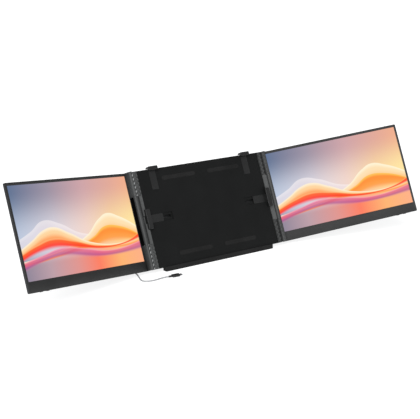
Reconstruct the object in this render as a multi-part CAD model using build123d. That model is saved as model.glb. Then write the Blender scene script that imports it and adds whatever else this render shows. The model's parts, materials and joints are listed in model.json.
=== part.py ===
from build123d import *

import os
from math import acos, atan2, cos, degrees, pi, radians, sin, sqrt, tan

# Laptop screen extender: a centre frame that hangs on the back of a laptop lid, with a
# 15.6 inch screen hinged to each side.  Millimetres, +Z up, +X to the user's right and
# -Y towards the user.  The origin is the middle of the desk foot, on the desk.
#
# Frame coordinates (x, y, z) stand upright: y is the depth behind the front face of the
# laptop lid, z the height above the frame's bottom edge.  Screen coordinates have the
# hinge axis at x = y = 0 with the screen pointing along +x and facing -y.

LEFT, RIGHT = -1, 1
SIDES = (LEFT, RIGHT)
SIDE_NAME = {LEFT: "left", RIGHT: "right"}

# ---- pose in use
LEAN = 20.7             # the laptop lid and the frame lean back
WING_ANGLE = 19.3       # the screens turn forward from the plane of the frame
DESK_GAP = 5.9          # lowest edge of the frame above the desk

# ---- laptop lid that the holders grip
LID_HALF = 163.8
LID_T = 6.0
LID_ABOVE = 0.4         # top edge of the lid above the top of the frame

# ---- screens
DISPLAY_W = 344.2       # 15.6 inch, 16:9
DISPLAY_H = 193.6
BEZEL_INNER = 2.0
BEZEL_OUTER = 5.3
BEZEL_TOP = 6.3
CHIN = 22.9
SCREEN_T = 6.0
BEZEL_T = 0.9
CORNER_R = 3.0
SHELL_WALL = 1.0
SHELL_FLOOR = 1.3
SHELL_EDGE = 0.9        # chamfer round the back of the shell
GLASS_T = 0.9
GLASS_LAP = 0.8         # glass held behind the bezel's lip
BACKLIGHT_T = 1.9
FACE_DEPTH = 14.5       # screens' faces behind the lid's front, in line with the frame
FOLD_GAP = 0.7          # folded right screen in front of the lid holders
STACK_GAP = 0.5         # folded left screen in front of the folded right one

# ---- screws of the back shells
SCREW_R = 0.8
SCREW_HEAD_R = 1.6
SCREW_HEAD_T = 0.7
SCREW_SUNK = 0.1        # screw heads below the surface
SCREW_LEAD = 0.8        # thread hole past the screw's tip
SCREEN_BOSS_R = 2.0
CHIN_SCREWS = (0.06, 0.34, 0.66, 0.94)      # shares of the screen's width
TOP_SCREWS = (0.1, 0.5, 0.9)
CHIN_SCREW_Z = 3.3
HEX_SHARE = 0.45        # drive hole to screw head

# ---- buttons in the screens' lower edges, and the boards behind them
BUTTON_W, BUTTON_T = 8.0, 2.4
BUTTON_PROUD = 0.8
BUTTON_TRAVEL = 0.5
BUTTON_GAP = 0.2
BUTTON_FLANGE_RIM = 1.0
BUTTON_FLANGE_EDGE = 0.5
BUTTON_FLANGE_H = 1.05
POWER_IN = 34.0         # buttons from the screen's outer edge
MENU_IN = 52.0
BOARD_FROM, BOARD_TO = 0.42, 0.955          # shares of the screen's width
BOARD_Z0, BOARD_Z1 = 6.0, 19.0
SCREEN_BOARD_T = 1.0
CHIP_T = 1.1
SCREEN_CHIP = 7.0
SCREEN_CHIP_SHARES = (0.2, 0.45, 0.7)       # of the board's length
SWITCH_W, SWITCH_T = 5.0, 2.2

# ---- hinges
HINGE_GAP = 6.5         # hinge axis to the frame's rail
SCREEN_INSET = 4.5      # hinge axis to the screen's inner edge
BARREL_R = 5.1
BARREL_L = 109.5        # fixed barrel between the knuckles
PIN_R = 2.0
RUN_GAP = 0.05
END_GAP = 0.25          # each side of the joints between knuckle and barrel
PIN_DEPTH = 28.0        # pin inside the fixed barrel
PIN_REACH = 42.0        # pin inside the knuckle
PIN_END_GAP = 0.6
ARM_FOOT = 3.5          # thickness of the knuckle's arm at the back of the screen
ARM_ROOT_ANGLE = 140.0  # where the arm's back runs into the barrel
GAP_COVER_T = 1.2
GAP_COVER_IN = 1.0      # cover's outer edge behind the screen's face, at the screen
GAP_COVER_RAYS = (60.0, 103.5, 117.0)       # angles across the strip, last its free edge
GAP_COVER_FOOT = 2.3
WEB_GAP = 0.6           # web of the fixed barrel inside the gap cover
WEB_FRONT = 0.5
LEAF_T = 0.8
LEAF_REACH = 26.0
LEAF_H = 44.0
LEAF_GAP = 2.0

# ---- centre frame
PAD_T = 0.5
PLATE_T = 1.8
FRAME_BACK = 18.5
RAIL_W = 11.7
RAIL_WALL = 1.6
RAIL_CAP = 3.0          # solid ends of the rail
RAIL_STEP = 1.2         # the rail stands proud between its faceted trims
TRIM_T = 1.2
TRIM_RELIEF = 1.0
TRIM_INSET = 0.3
FACET_PITCH = 9.3
BEVEL_W = 4.0           # notched bevel along the trims' outer edge
BEVEL_LIP = 0.2         # bevel's outer edge in front of the rail
BEVEL_NOTCH = 2.6       # half height of a notch at the bevel's inner edge
GROOVE_FILL = 0.94      # width of the grooves to the distance between them
BACK_WALL = 2.0
PAD_X = 62.0
PAD_W, PAD_H = 90.0, 10.0
PAD_FROM_EDGE = 24.4    # middle of each pad to the frame's top or bottom edge
FOOT_HALF = 150.0
FOOT_DEPTH = 16.0
FOOT_R = 3.0

# ---- screws of the back cover
COVER_SCREW_R = 1.2
COVER_HEAD_R = 2.6
COVER_HEAD_T = 1.1
COVER_BOSS_R = 3.0
COVER_SCREW_SIDE = 8.0      # outer screws from the rail
COVER_SCREW_INNER = 98.0
COVER_SCREW_TOP_X = 40.0
COVER_SCREW_LOW = 6.5
COVER_SCREW_MID = 140.0
COVER_SCREW_TOP = 7.5       # top row below the frame's top edge
COVER_SCREW_LEAD = 1.5

# ---- lid holders
GRIP_T = 2.2
GRIP_PAD_T = 0.6
GRIP_PAD_INSET = 1.5
GRIP_PAD_LIP = 0.4      # pad ends short of the jaw's lip
GRIP_R = 2.4
GRIP_EDGE = 0.8
SLIDE_GAP = 0.1
SLIDE_STOP = 1.2        # rail outside the side clip when it is pulled right out
ARM_T = 1.4
CLIP_H = 45.5
CLIP_LAP = 2.6          # lip over the lid's front
CLIP_WIDTH = 8.1
CLIP_ARM_H = 18.0
CLIP_ARM_L = 37.8       # arm behind the lid, from the lid's edge
CLIP_IN, CLIP_OUT = 25.0, 6.0
CLIP_BACK_GAP = 0.3     # jaw in front of the rail
HOOK_IN = 35.8          # middle of the hook from the lid's side edge
HOOK_W = 25.0
HOOK_LAP = 4.1
HOOK_BRIDGE = 4.2
HOOK_BACK = 1.6         # bridge behind the arm
HOOK_ARM_W = 17.0
HOOK_ARM_L = 47.0
HOOK_UP = 20.0
NECK_W = 6.0
NECK_L = 20.0
NECK_L_HOOK = 10.0
RETAINER_T = 1.2
RETAINER_RIM = 4.0
GUIDE_WALL = 1.6
GUIDE_SIDE = 2.5
GUIDE_END = 3.0

# ---- kickstand
STAND_HALF = 65.3
STAND_T = 3.0
STAND_DROP = 39.3       # pivot below the frame's top edge
STAND_PIVOT_IN = 3.0    # pivot in front of the frame's back
STAND_BARREL_R = 2.4
STAND_PIN_R = 1.5
STAND_FOOT_R = 2.6
STAND_END_GAP = 1.5     # folded stand above the frame's bottom edge
STAND_FRAME = 22.0      # width of the plate beside its window
STAND_WINDOW_LOW = 42.0
STAND_WINDOW_TOP = 46.0
STAND_WINDOW_R = 8.0
RECESS_GAP = 0.7
RECESS_TOP_GAP = 1.6
RECESS_CLEAR = 0.3      # folded foot in front of the recess's floor
RECESS_FLOOR_T = 1.6
RECESS_WALL = 3.0
STAND_PIN_IN = 0.5      # pin ends inside the recess's walls

# ---- board and sockets
BOARD_T = 1.6
BOARD_POST = 1.6
BOARD_POST_R = 2.5
BOARD_POST_IN = (6.0, 5.0)
BOARD_SIDE = 5.0        # board from the rail and from the kickstand's recess
BOARD_LOW, BOARD_HIGH = 12.0, 52.0
CHIPS = ((30.0, 22.0, 14.0), (14.0, 10.0, 8.0), (66.0, 30.0, 9.0))  # from the inner end, z, size
SOCKET_IN = (18.0, 40.0)    # sockets inside the rail
SOCKET_Z = 24.0
SOCKET_W, SOCKET_H = 9.0, 3.3
SOCKET_SHELL = 0.3
SOCKET_SUNK = 0.2
SOCKET_L = 6.7
TONGUE_W, TONGUE_T, TONGUE_SUNK = 6.6, 0.7, 0.8

# ---- plugs and cable
PLUG_TIP_W, PLUG_TIP_H, PLUG_TIP_L = 8.2, 2.4, 6.4
PLUG_TIP_WALL = 0.4
PLUG_W, PLUG_H, PLUG_L = 11.6, 6.0, 17.0
PLUG_EDGE = 1.0
PLUG_OFF = 0.3          # plug's body off the back cover
RELIEF_L = 9.0
CORD_D = 3.2
LAPTOP_PLUG_TIP = (-141.4, -56.0, 3.0)
LAPTOP_PLUG_TURN = 6.0  # the plug on the desk, turned from the X axis
# Route of the cable, from the frame's plug along the desk to the laptop's plug.
CORD_POINTS = [
    (-150.0, 60.0, 11.0),
    (-153.0, 82.0, 3.0),
    (-163.0, 104.0, 1.6),
    (-186.0, 116.0, 1.6),
    (-210.0, 107.0, 1.6),
    (-222.0, 84.0, 1.6),
    (-220.0, 60.0, 1.6),
    (-213.0, 40.0, 1.6),
    (-211.5, 19.5, 1.6),
    (-220.5, -4.5, 1.6),
    (-229.0, -26.0, 1.6),
    (-232.3, -41.5, 1.6),
    (-221.5, -51.2, 1.6),
    (-204.0, -52.2, 1.6),
    (-187.5, -51.15, 3.0),
]

# ---- worked out from the sizes above
FRAME_H = DISPLAY_H + CHIN + BEZEL_TOP
PLATE_FRONT = LID_T + PAD_T
PLATE_REAR = PLATE_FRONT + PLATE_T
LID_TOP = FRAME_H + LID_ABOVE
PLACE_Y = -(PLATE_FRONT + FRAME_BACK) / 2 * cos(radians(LEAN))
PLACE_Z = DESK_GAP + FRAME_BACK * sin(radians(LEAN))
FRAME_PLACE = Pos(0, PLACE_Y, PLACE_Z) * Rot(-LEAN, 0, 0)

JAW_INNER = LID_HALF + GRIP_PAD_T
JAW_OUTER = JAW_INNER + CLIP_WIDTH
JAW_FRONT = -GRIP_PAD_T - GRIP_T
RAIL_OUTER = JAW_OUTER + CLIP_OUT + SLIDE_STOP
RAIL_INNER = RAIL_OUTER - RAIL_W
RAIL_MID_FRONT = LID_T - RAIL_STEP
HINGE_X = RAIL_OUTER + HINGE_GAP

SCREEN_W = BEZEL_INNER + DISPLAY_W + BEZEL_OUTER
SCREEN_END = SCREEN_INSET + SCREEN_W
FOLDED_RIGHT = JAW_FRONT - FOLD_GAP
FOLDED_FACE = {RIGHT: FOLDED_RIGHT, LEFT: FOLDED_RIGHT - SCREEN_T - STACK_GAP}
AXIS_DEPTH = {side: (FACE_DEPTH + FOLDED_FACE[side]) / 2 for side in SIDES}
FACE_DROP = {side: (FACE_DEPTH - FOLDED_FACE[side]) / 2 for side in SIDES}  # axis to face
BARREL_FROM = (FRAME_H - BARREL_L) / 2
BARREL_TO = BARREL_FROM + BARREL_L

CLIP_MID = FRAME_H / 2
CLIP_ARM_END = LID_HALF - CLIP_ARM_L
HOOK_X = LID_HALF - HOOK_IN
ARM_FRONT = PLATE_FRONT + SLIDE_GAP
ARM_REAR = ARM_FRONT + ARM_T
GUIDE_REAR = ARM_REAR + GUIDE_WALL + SLIDE_GAP
SIDE_SLIDE = 2 * SLIDE_GAP      # on each side of an arm or neck

POWER_X = SCREEN_END - POWER_IN
MENU_X = SCREEN_END - MENU_IN
BUTTON_DEPTH = (BEZEL_T + SCREEN_T - SHELL_FLOOR) / 2
SWITCH_TIP = SHELL_WALL + BUTTON_FLANGE_H + BUTTON_TRAVEL + BUTTON_GAP

STAND_PIVOT_Y = FRAME_BACK - STAND_PIVOT_IN
STAND_PIVOT_Z = FRAME_H - STAND_DROP
RECESS_FLOOR = STAND_PIVOT_Y - STAND_FOOT_R - RECESS_CLEAR
RECESS_HALF = STAND_HALF + RECESS_GAP
RECESS_TOP = STAND_PIVOT_Z + STAND_BARREL_R + RECESS_TOP_GAP
STAND_REACH = STAND_PIVOT_Z - STAND_END_GAP - STAND_FOOT_R
STAND_PLATE_END = STAND_REACH - STAND_FOOT_R * 0.8
PIVOT = (FRAME_PLACE * Pos(0, STAND_PIVOT_Y, STAND_PIVOT_Z)).position
STAND_SWING = degrees(acos((PIVOT.Z - STAND_FOOT_R) / STAND_REACH))   # from hanging down
STAND_PLACE = Pos(PIVOT) * Rot(STAND_SWING, 0, 0)

BOARD_X0 = -RAIL_INNER + BOARD_SIDE
BOARD_X1 = -RECESS_HALF - RECESS_WALL - BOARD_SIDE
BOARD_FRONT = PLATE_REAR + BOARD_POST
SOCKET_X = [-RAIL_INNER + inset for inset in SOCKET_IN]
FRAME_PLUG_TIP = FRAME_BACK + PLUG_OFF - PLUG_TIP_L
FRAME_PLUG_PLACE = FRAME_PLACE * Pos(SOCKET_X[0], FRAME_PLUG_TIP, SOCKET_Z) * Rot(0, 0, 90)
LAPTOP_PLUG_PLACE = Pos(*LAPTOP_PLUG_TIP) * Rot(0, 0, 180 - LAPTOP_PLUG_TURN)
CORD_END = PLUG_TIP_L + PLUG_L + RELIEF_L


def block(x0, x1, y0, y1, z0, z1):
    """Box between two corners."""
    middle = Pos((x0 + x1) / 2, (y0 + y1) / 2, (z0 + z1) / 2)
    return middle * Box(abs(x1 - x0), abs(y1 - y0), abs(z1 - z0))


def upright(sketch, z0, z1):
    """A plan drawn in X and Y, made solid from height z0 to z1."""
    return extrude(Pos(0, 0, z0) * sketch, z1 - z0)


def rod(radius, x, y, z0, z1):
    """Upright cylinder."""
    return Pos(x, y, (z0 + z1) / 2) * Cylinder(radius, z1 - z0)


def peg(radius, x, z, y0, y1):
    """Cylinder along Y."""
    return Pos(x, (y0 + y1) / 2, z) * Rot(90, 0, 0) * Cylinder(radius, y1 - y0)


def bar(radius, length):
    """Cylinder along X, its middle at the origin."""
    return Rot(0, 90, 0) * Cylinder(radius, length)


def front_outline(x0, x1, z0, z1, radius, y0, y1):
    """Plate with rounded corners seen from the front, from depth y0 to y1."""
    face = RectangleRounded(x1 - x0, z1 - z0, radius)
    solid = extrude(face, y1 - y0)
    return Pos((x0 + x1) / 2, y1, (z0 + z1) / 2) * Rot(90, 0, 0) * solid


def mirrored(solid, side):
    return solid if side == RIGHT else mirror(solid, about=Plane.YZ)


def on_side(solid, side):
    """Place a piece drawn on the right side of the frame."""
    return FRAME_PLACE * mirrored(solid, side)


def on_wing(solid, side):
    """Place a piece drawn in screen coordinates."""
    hinge = Pos(side * HINGE_X, AXIS_DEPTH[side], 0) * Rot(0, 0, -side * WING_ANGLE)
    return FRAME_PLACE * hinge * mirrored(solid, side)


# ------------------------------------------------------------------ screens

def screen_slab(depth0, depth1):
    """Whole outline of the screen, its two outer corners rounded."""
    slab = block(SCREEN_INSET, SCREEN_END, depth0, depth1, 0, FRAME_H)
    corners = slab.edges().filter_by(Axis.Y).group_by(Axis.X)[-1]
    return fillet(corners, CORNER_R)


def display_block(depth0, depth1, grow):
    x0 = SCREEN_INSET + BEZEL_INNER
    return block(x0 - grow, x0 + DISPLAY_W + grow, depth0, depth1,
                 CHIN - grow, CHIN + DISPLAY_H + grow)


def screw_places():
    """Back-shell screws: a row in the chin and a row along the top."""
    top_z = FRAME_H - SHELL_WALL - SCREEN_BOSS_R - BUTTON_GAP
    rows = ((CHIN_SCREWS, CHIN_SCREW_Z), (TOP_SCREWS, top_z))
    return [(SCREEN_INSET + SCREEN_W * share, z) for shares, z in rows for share in shares]


def bezel(drop):
    front = drop + BEZEL_T
    floor = drop + SCREEN_T - SHELL_FLOOR
    frame = screen_slab(drop, front) - display_block(drop - 1, front + 1, 0)
    for x, z in screw_places():
        frame += peg(SCREEN_BOSS_R, x, z, front, floor)
        frame -= peg(SCREW_R, x, z, front + SCREW_LEAD / 2, floor + 1)
    return frame


def lcd_glass(drop):
    return display_block(drop + BEZEL_T, drop + BEZEL_T + GLASS_T, GLASS_LAP)


def backlight(drop):
    top = drop + BEZEL_T + GLASS_T
    return display_block(top, top + BACKLIGHT_T, GLASS_LAP)


def button_plan(x, drop, grow_w, grow_t):
    plan = SlotOverall(BUTTON_W + 2 * grow_w, BUTTON_T + 2 * grow_t)
    return Pos(x, drop + BUTTON_DEPTH) * plan


def back_shell(drop):
    back = drop + SCREEN_T
    shell = screen_slab(drop + BEZEL_T, back)
    rim = shell.faces().sort_by(Axis.Y)[-1].edges().filter_by(
        lambda edge: edge.center().X > SCREEN_INSET + 1)
    shell = chamfer(rim, SHELL_EDGE)
    shell -= block(SCREEN_INSET + SHELL_WALL, SCREEN_END - SHELL_WALL, drop,
                   back - SHELL_FLOOR, SHELL_WALL, FRAME_H - SHELL_WALL)
    for x, z in screw_places():
        shell -= peg(SCREW_R, x, z, back - SHELL_FLOOR - 1, back + 1)
        shell -= peg(SCREW_HEAD_R, x, z, back - SCREW_HEAD_T, back + 1)
    for x in (POWER_X, MENU_X):
        hole = button_plan(x, drop, BUTTON_GAP, BUTTON_GAP)
        shell -= upright(hole, -1, SHELL_WALL + 1)
    return shell


def shell_screws(drop):
    back = drop + SCREEN_T
    screws = []
    for x, z in screw_places():
        head = peg(SCREW_HEAD_R, x, z, back - SCREW_HEAD_T, back - SCREW_SUNK)
        shank = peg(SCREW_R, x, z, drop + BEZEL_T + SCREW_LEAD, back - SCREW_HEAD_T)
        drive = peg(SCREW_HEAD_R * HEX_SHARE, x, z, back - SCREW_HEAD_T * 0.7, back)
        screws.append(head + shank - drive)
    return Compound(screws)


def button(x, drop):
    """Cap in the shell's lower wall, with a flange inside it."""
    cap = upright(button_plan(x, drop, 0, 0), -BUTTON_PROUD, SHELL_WALL)
    flange = button_plan(x, drop, BUTTON_FLANGE_RIM, BUTTON_FLANGE_EDGE)
    return cap + upright(flange, SHELL_WALL, SHELL_WALL + BUTTON_FLANGE_H)


def driver_board(drop):
    """Circuit board in the chin with its chips, and a switch over each button."""
    floor = drop + SCREEN_T - SHELL_FLOOR
    x0 = SCREEN_INSET + SCREEN_W * BOARD_FROM
    x1 = SCREEN_INSET + SCREEN_W * BOARD_TO
    face = floor - SCREEN_BOARD_T
    board = block(x0, x1, face, floor, BOARD_Z0, BOARD_Z1)
    z = (BOARD_Z0 + BOARD_Z1) / 2
    half = SCREEN_CHIP / 2
    for share in SCREEN_CHIP_SHARES:
        x = x0 + (x1 - x0) * share
        board += block(x - half, x + half, face - CHIP_T, face, z - half, z + half)
    for x in (POWER_X, MENU_X):
        board += block(x - SWITCH_W / 2, x + SWITCH_W / 2, floor - SWITCH_T, floor,
                       SWITCH_TIP, BOARD_Z0)
    return board


def screen_pieces(side):
    drop = FACE_DROP[side]
    pieces = {
        "bezel": bezel(drop),
        "lcd_glass": lcd_glass(drop),
        "backlight": backlight(drop),
        "back_shell": back_shell(drop),
        "shell_screws": shell_screws(drop),
        "driver_board": driver_board(drop),
        "power_button": button(POWER_X, drop),
        "menu_button": button(MENU_X, drop),
        "lower_knuckle": lower_knuckle(drop),
        "upper_knuckle": upper_knuckle(drop),
        "gap_cover": gap_cover(drop),
        "hinge_leaves": hinge_leaves(drop),
    }
    return {f"{SIDE_NAME[side]}_{key}": on_wing(solid, side) for key, solid in pieces.items()}


# ------------------------------------------------------------------ hinges

def knuckle_plan(drop):
    """Barrel with the arm that carries the screen's inner edge."""
    back = drop + SCREEN_T
    root = radians(ARM_ROOT_ANGLE)
    arm = Polygon(
        (0, 0), (BARREL_R, 0), (BARREL_R, drop), (SCREEN_INSET, drop), (SCREEN_INSET, back),
        (SCREEN_INSET - ARM_FOOT, back), (BARREL_R * cos(root), BARREL_R * sin(root)), align=None)
    return Circle(BARREL_R) + arm


def knuckle(drop, z0, z1, bore0, bore1):
    return upright(knuckle_plan(drop), z0, z1) - rod(PIN_R + RUN_GAP, 0, 0, bore0, bore1)


def lower_knuckle(drop):
    bore = PIN_REACH + PIN_END_GAP
    return knuckle(drop, 0, BARREL_FROM - END_GAP, BARREL_FROM - bore, BARREL_FROM)


def upper_knuckle(drop):
    bore = PIN_REACH + PIN_END_GAP
    return knuckle(drop, BARREL_TO + END_GAP, FRAME_H, BARREL_TO, BARREL_TO + bore)


def gap_cover_radius(drop):
    return sqrt(SCREEN_INSET ** 2 + (drop + GAP_COVER_IN) ** 2)


def gap_cover(drop):
    """Curved strip behind the fixed barrel, which closes the gap beside the screen."""
    outer = gap_cover_radius(drop)
    reach = outer * 2
    rays = [(reach * cos(radians(a)), reach * sin(radians(a))) for a in GAP_COVER_RAYS]
    strip = (Circle(outer) - Circle(outer - GAP_COVER_T)) & Polygon((0, 0), *rays, align=None)
    beyond = Pos(SCREEN_INSET + reach / 2, 0) * Rectangle(reach, 4 * reach)
    foot_x = SCREEN_INSET - GAP_COVER_FOOT / 2
    foot_y0, foot_y1 = drop + GAP_COVER_IN / 2, drop + SCREEN_T - GAP_COVER_T
    foot = Pos(foot_x, (foot_y0 + foot_y1) / 2) * Rectangle(GAP_COVER_FOOT, foot_y1 - foot_y0)
    return upright(strip - beyond + foot, BARREL_FROM - END_GAP, BARREL_TO + END_GAP)


def hinge_leaves(drop):
    """Steel leaves that carry the screen, one beside each knuckle."""
    floor = drop + SCREEN_T - SHELL_FLOOR
    x0 = SCREEN_INSET + SHELL_WALL
    return Compound([block(x0, x0 + LEAF_REACH, floor - LEAF_T, floor, z0, z0 + LEAF_H)
                     for z0 in (BARREL_FROM - LEAF_H - LEAF_GAP, BARREL_TO + LEAF_GAP)])


def middle_barrel(side):
    """Fixed barrel between the knuckles, with the web that joins it to the rail."""
    front = max(LID_T - AXIS_DEPTH[side], WEB_FRONT)
    cover = gap_cover_radius(FACE_DROP[side]) - GAP_COVER_T
    rear = sqrt((cover - WEB_GAP) ** 2 - HINGE_GAP ** 2)
    web = Polygon((-HINGE_GAP, front), (0, front), (0, BARREL_R), (-BARREL_R / 2, rear),
                  (-HINGE_GAP, rear), align=None)
    plan = Pos(HINGE_X, AXIS_DEPTH[side]) * (Circle(BARREL_R) + web)
    solid = upright(plan, BARREL_FROM + END_GAP, BARREL_TO - END_GAP)
    for z0, z1 in ((BARREL_FROM, BARREL_FROM + PIN_DEPTH), (BARREL_TO - PIN_DEPTH, BARREL_TO)):
        solid -= rod(PIN_R, HINGE_X, AXIS_DEPTH[side], z0, z1)
    return solid


def hinge_pins(side):
    spans = ((BARREL_FROM - PIN_REACH, BARREL_FROM + PIN_DEPTH),
             (BARREL_TO - PIN_DEPTH, BARREL_TO + PIN_REACH))
    return Compound([rod(PIN_R, HINGE_X, AXIS_DEPTH[side], z0, z1) for z0, z1 in spans])


def clip_channel(x0, x1, front):
    """Space of the side clip's arm, right side."""
    half = CLIP_ARM_H / 2 + SIDE_SLIDE
    return block(x0, x1, front, ARM_REAR + SLIDE_GAP, CLIP_MID - half, CLIP_MID + half)


def rail():
    """Hollow edge of the frame, proud between the trims and notched for the clip's arm."""
    solid = block(RAIL_INNER, RAIL_OUTER, LID_T, FRAME_BACK, 0, FRAME_H)
    solid += block(RAIL_INNER + TRIM_INSET, RAIL_OUTER - TRIM_INSET, RAIL_MID_FRONT,
                   LID_T, BARREL_FROM, BARREL_TO)
    solid -= block(RAIL_INNER + RAIL_WALL, RAIL_OUTER - RAIL_WALL, GUIDE_REAR,
                   FRAME_BACK - RAIL_WALL, RAIL_CAP, FRAME_H - RAIL_CAP)
    reach = JAW_OUTER + CLIP_OUT + SIDE_SLIDE
    return solid - clip_channel(RAIL_INNER - 1, reach, RAIL_MID_FRONT - 1)


def facet_plate(x0, x1, z0, z1):
    """Plate cut by two crossing sets of V grooves, which leaves upright diamonds."""
    face = LID_T - TRIM_T - TRIM_RELIEF
    plate = block(x0, x1, face, LID_T, z0, z1)
    width = (x1 - x0) / 2
    lean = atan2(width, FACET_PITCH)
    half = FACET_PITCH * sin(lean) * GROOVE_FILL / 2
    groove = Polygon((0, TRIM_RELIEF), (half * 1.5, -TRIM_RELIEF / 2),
                     (-half * 1.5, -TRIM_RELIEF / 2), align=None)
    blade = extrude(groove, 2 * (z1 - z0), both=True)
    cutters = []
    for turn in (-degrees(lean), degrees(lean)):
        for index in range(-1, int((z1 - z0) / FACET_PITCH) + 4):
            z = z0 + (index - 0.5) * FACET_PITCH
            cutters.append(Pos(x0 + width, face, z) * Rot(0, turn, 0) * blade)
    return plate - cutters


def notched_bevel(x0, x1, z0, z1):
    """Bevel that faces the hinge, notched into a row of upright facets."""
    front, deep = LID_T - TRIM_T - TRIM_RELIEF, LID_T - BEVEL_LIP
    bevel = upright(Polygon((x0, front), (x1, deep), (x1, LID_T), (x0, LID_T), align=None), z0, z1)
    wide = BEVEL_NOTCH * (deep - front + 1) / (deep - front)
    wedge = Plane.YZ * Polygon((deep, 0), (front - 1, wide), (front - 1, -wide), align=None)
    notch = extrude(wedge, x1 - x0, both=True)
    count = int((z1 - z0) // FACET_PITCH)
    first = (z0 + z1) / 2 - count / 2 * FACET_PITCH
    return bevel - [Pos((x0 + x1) / 2, 0, first + index * FACET_PITCH) * notch
                    for index in range(count + 1)]


def rail_trims():
    """Facets of the lower and the upper trim, with the bevel beside the hinge."""
    x0, x2 = RAIL_INNER + TRIM_INSET, RAIL_OUTER - TRIM_INSET
    x1 = x2 - BEVEL_W
    return Compound([facet_plate(x0, x1, z0, z1) + notched_bevel(x1, x2, z0, z1)
                     for z0, z1 in ((TRIM_INSET, BARREL_FROM - TRIM_INSET),
                                    (BARREL_TO + TRIM_INSET, FRAME_H - TRIM_INSET))])


# ------------------------------------------------------------------ centre frame

def cover_screw_places():
    outer = RAIL_INNER - COVER_SCREW_SIDE
    places = [(side * x, z) for side in SIDES for x in (outer, COVER_SCREW_INNER)
              for z in (COVER_SCREW_LOW, COVER_SCREW_MID)]
    top = [(side * x, FRAME_H - COVER_SCREW_TOP) for side in SIDES
           for x in (outer, COVER_SCREW_TOP_X)]
    return places + top


def clip_slot():
    x0 = CLIP_ARM_END + RETAINER_RIM
    half = NECK_W / 2 + SIDE_SLIDE
    return block(x0 - CLIP_IN - SIDE_SLIDE, x0 + NECK_L + CLIP_OUT + SIDE_SLIDE,
                 PLATE_FRONT, GUIDE_REAR + 1, CLIP_MID - half, CLIP_MID + half)


def hook_channel():
    half = HOOK_ARM_W / 2 + SIDE_SLIDE
    return block(HOOK_X - half, HOOK_X + half, PLATE_FRONT - 1, ARM_REAR + SLIDE_GAP,
                 FRAME_H - HOOK_ARM_L - SIDE_SLIDE, FRAME_H + 1)


def hook_slot():
    z0 = FRAME_H - HOOK_ARM_L + RETAINER_RIM
    half = NECK_W / 2 + SIDE_SLIDE
    return block(HOOK_X - half, HOOK_X + half, PLATE_FRONT, GUIDE_REAR + 1,
                 z0 - SIDE_SLIDE, z0 + NECK_L_HOOK + HOOK_UP + SIDE_SLIDE)


def board_posts():
    in_x, in_z = BOARD_POST_IN
    return [(x, z) for x in (BOARD_X0 + in_x, BOARD_X1 - in_x)
            for z in (BOARD_LOW + in_z, BOARD_HIGH - in_z)]


def front_plate():
    """Plate behind the laptop lid, with the guides of the clips and the hooks."""
    plate = block(-RAIL_INNER, RAIL_INNER, PLATE_FRONT, PLATE_REAR, 0, FRAME_H)
    clip_half = CLIP_ARM_H / 2 + GUIDE_SIDE
    clip_start = CLIP_ARM_END - CLIP_IN
    clip_guide = block(clip_start - GUIDE_END, RAIL_INNER - BACK_WALL, PLATE_REAR, GUIDE_REAR,
                       CLIP_MID - clip_half, CLIP_MID + clip_half)
    hook_half = HOOK_ARM_W / 2 + GUIDE_SIDE
    hook_guide = block(HOOK_X - hook_half, HOOK_X + hook_half, PLATE_REAR, GUIDE_REAR,
                       FRAME_H - HOOK_ARM_L - GUIDE_END, FRAME_H - BACK_WALL)
    arm_space = clip_channel(clip_start - SIDE_SLIDE, RAIL_INNER + 1, PLATE_FRONT - 1)
    for side in SIDES:
        plate += mirrored(clip_guide, side) + mirrored(hook_guide, side)
        for space in (arm_space, clip_slot(), hook_channel(), hook_slot()):
            plate -= mirrored(space, side)
    for x, z in cover_screw_places():
        plate += peg(COVER_BOSS_R, x, z, PLATE_REAR, FRAME_BACK - BACK_WALL)
        plate -= peg(COVER_SCREW_R, x, z, PLATE_REAR + COVER_SCREW_LEAD, FRAME_BACK)
    for x, z in board_posts():
        plate += peg(BOARD_POST_R, x, z, PLATE_REAR, BOARD_FRONT)
    return plate


def back_cover():
    """Tray that closes the frame from behind, with the kickstand's recess."""
    cover = block(-RAIL_INNER, RAIL_INNER, PLATE_REAR, FRAME_BACK, 0, FRAME_H)
    cover -= block(-RAIL_INNER + BACK_WALL, RAIL_INNER - BACK_WALL, PLATE_REAR - 1,
                   FRAME_BACK - BACK_WALL, BACK_WALL, FRAME_H - BACK_WALL)
    outside = RECESS_HALF + RECESS_WALL
    cover += block(-outside, outside, RECESS_FLOOR - RECESS_FLOOR_T, FRAME_BACK,
                   0, RECESS_TOP + RECESS_WALL)
    cover -= block(-RECESS_HALF, RECESS_HALF, RECESS_FLOOR, FRAME_BACK + 1, -1, RECESS_TOP)
    cover -= stand_pin()
    for x, z in cover_screw_places():
        cover -= peg(COVER_SCREW_R, x, z, FRAME_BACK - BACK_WALL - 1, FRAME_BACK + 1)
        cover -= peg(COVER_HEAD_R, x, z, FRAME_BACK - COVER_HEAD_T - SCREW_SUNK, FRAME_BACK + 1)
    for x in SOCKET_X:
        cover -= block(x - SOCKET_W / 2, x + SOCKET_W / 2, FRAME_BACK - BACK_WALL - 1,
                       FRAME_BACK + 1, SOCKET_Z - SOCKET_H / 2, SOCKET_Z + SOCKET_H / 2)
    half = HOOK_ARM_W / 2 + SIDE_SLIDE
    throat = block(HOOK_X - half, HOOK_X + half, PLATE_REAR - 1, GUIDE_REAR + SLIDE_GAP,
                   FRAME_H - BACK_WALL - 1, FRAME_H + 1)
    for side in SIDES:
        cover -= mirrored(throat, side)
    return cover


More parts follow.
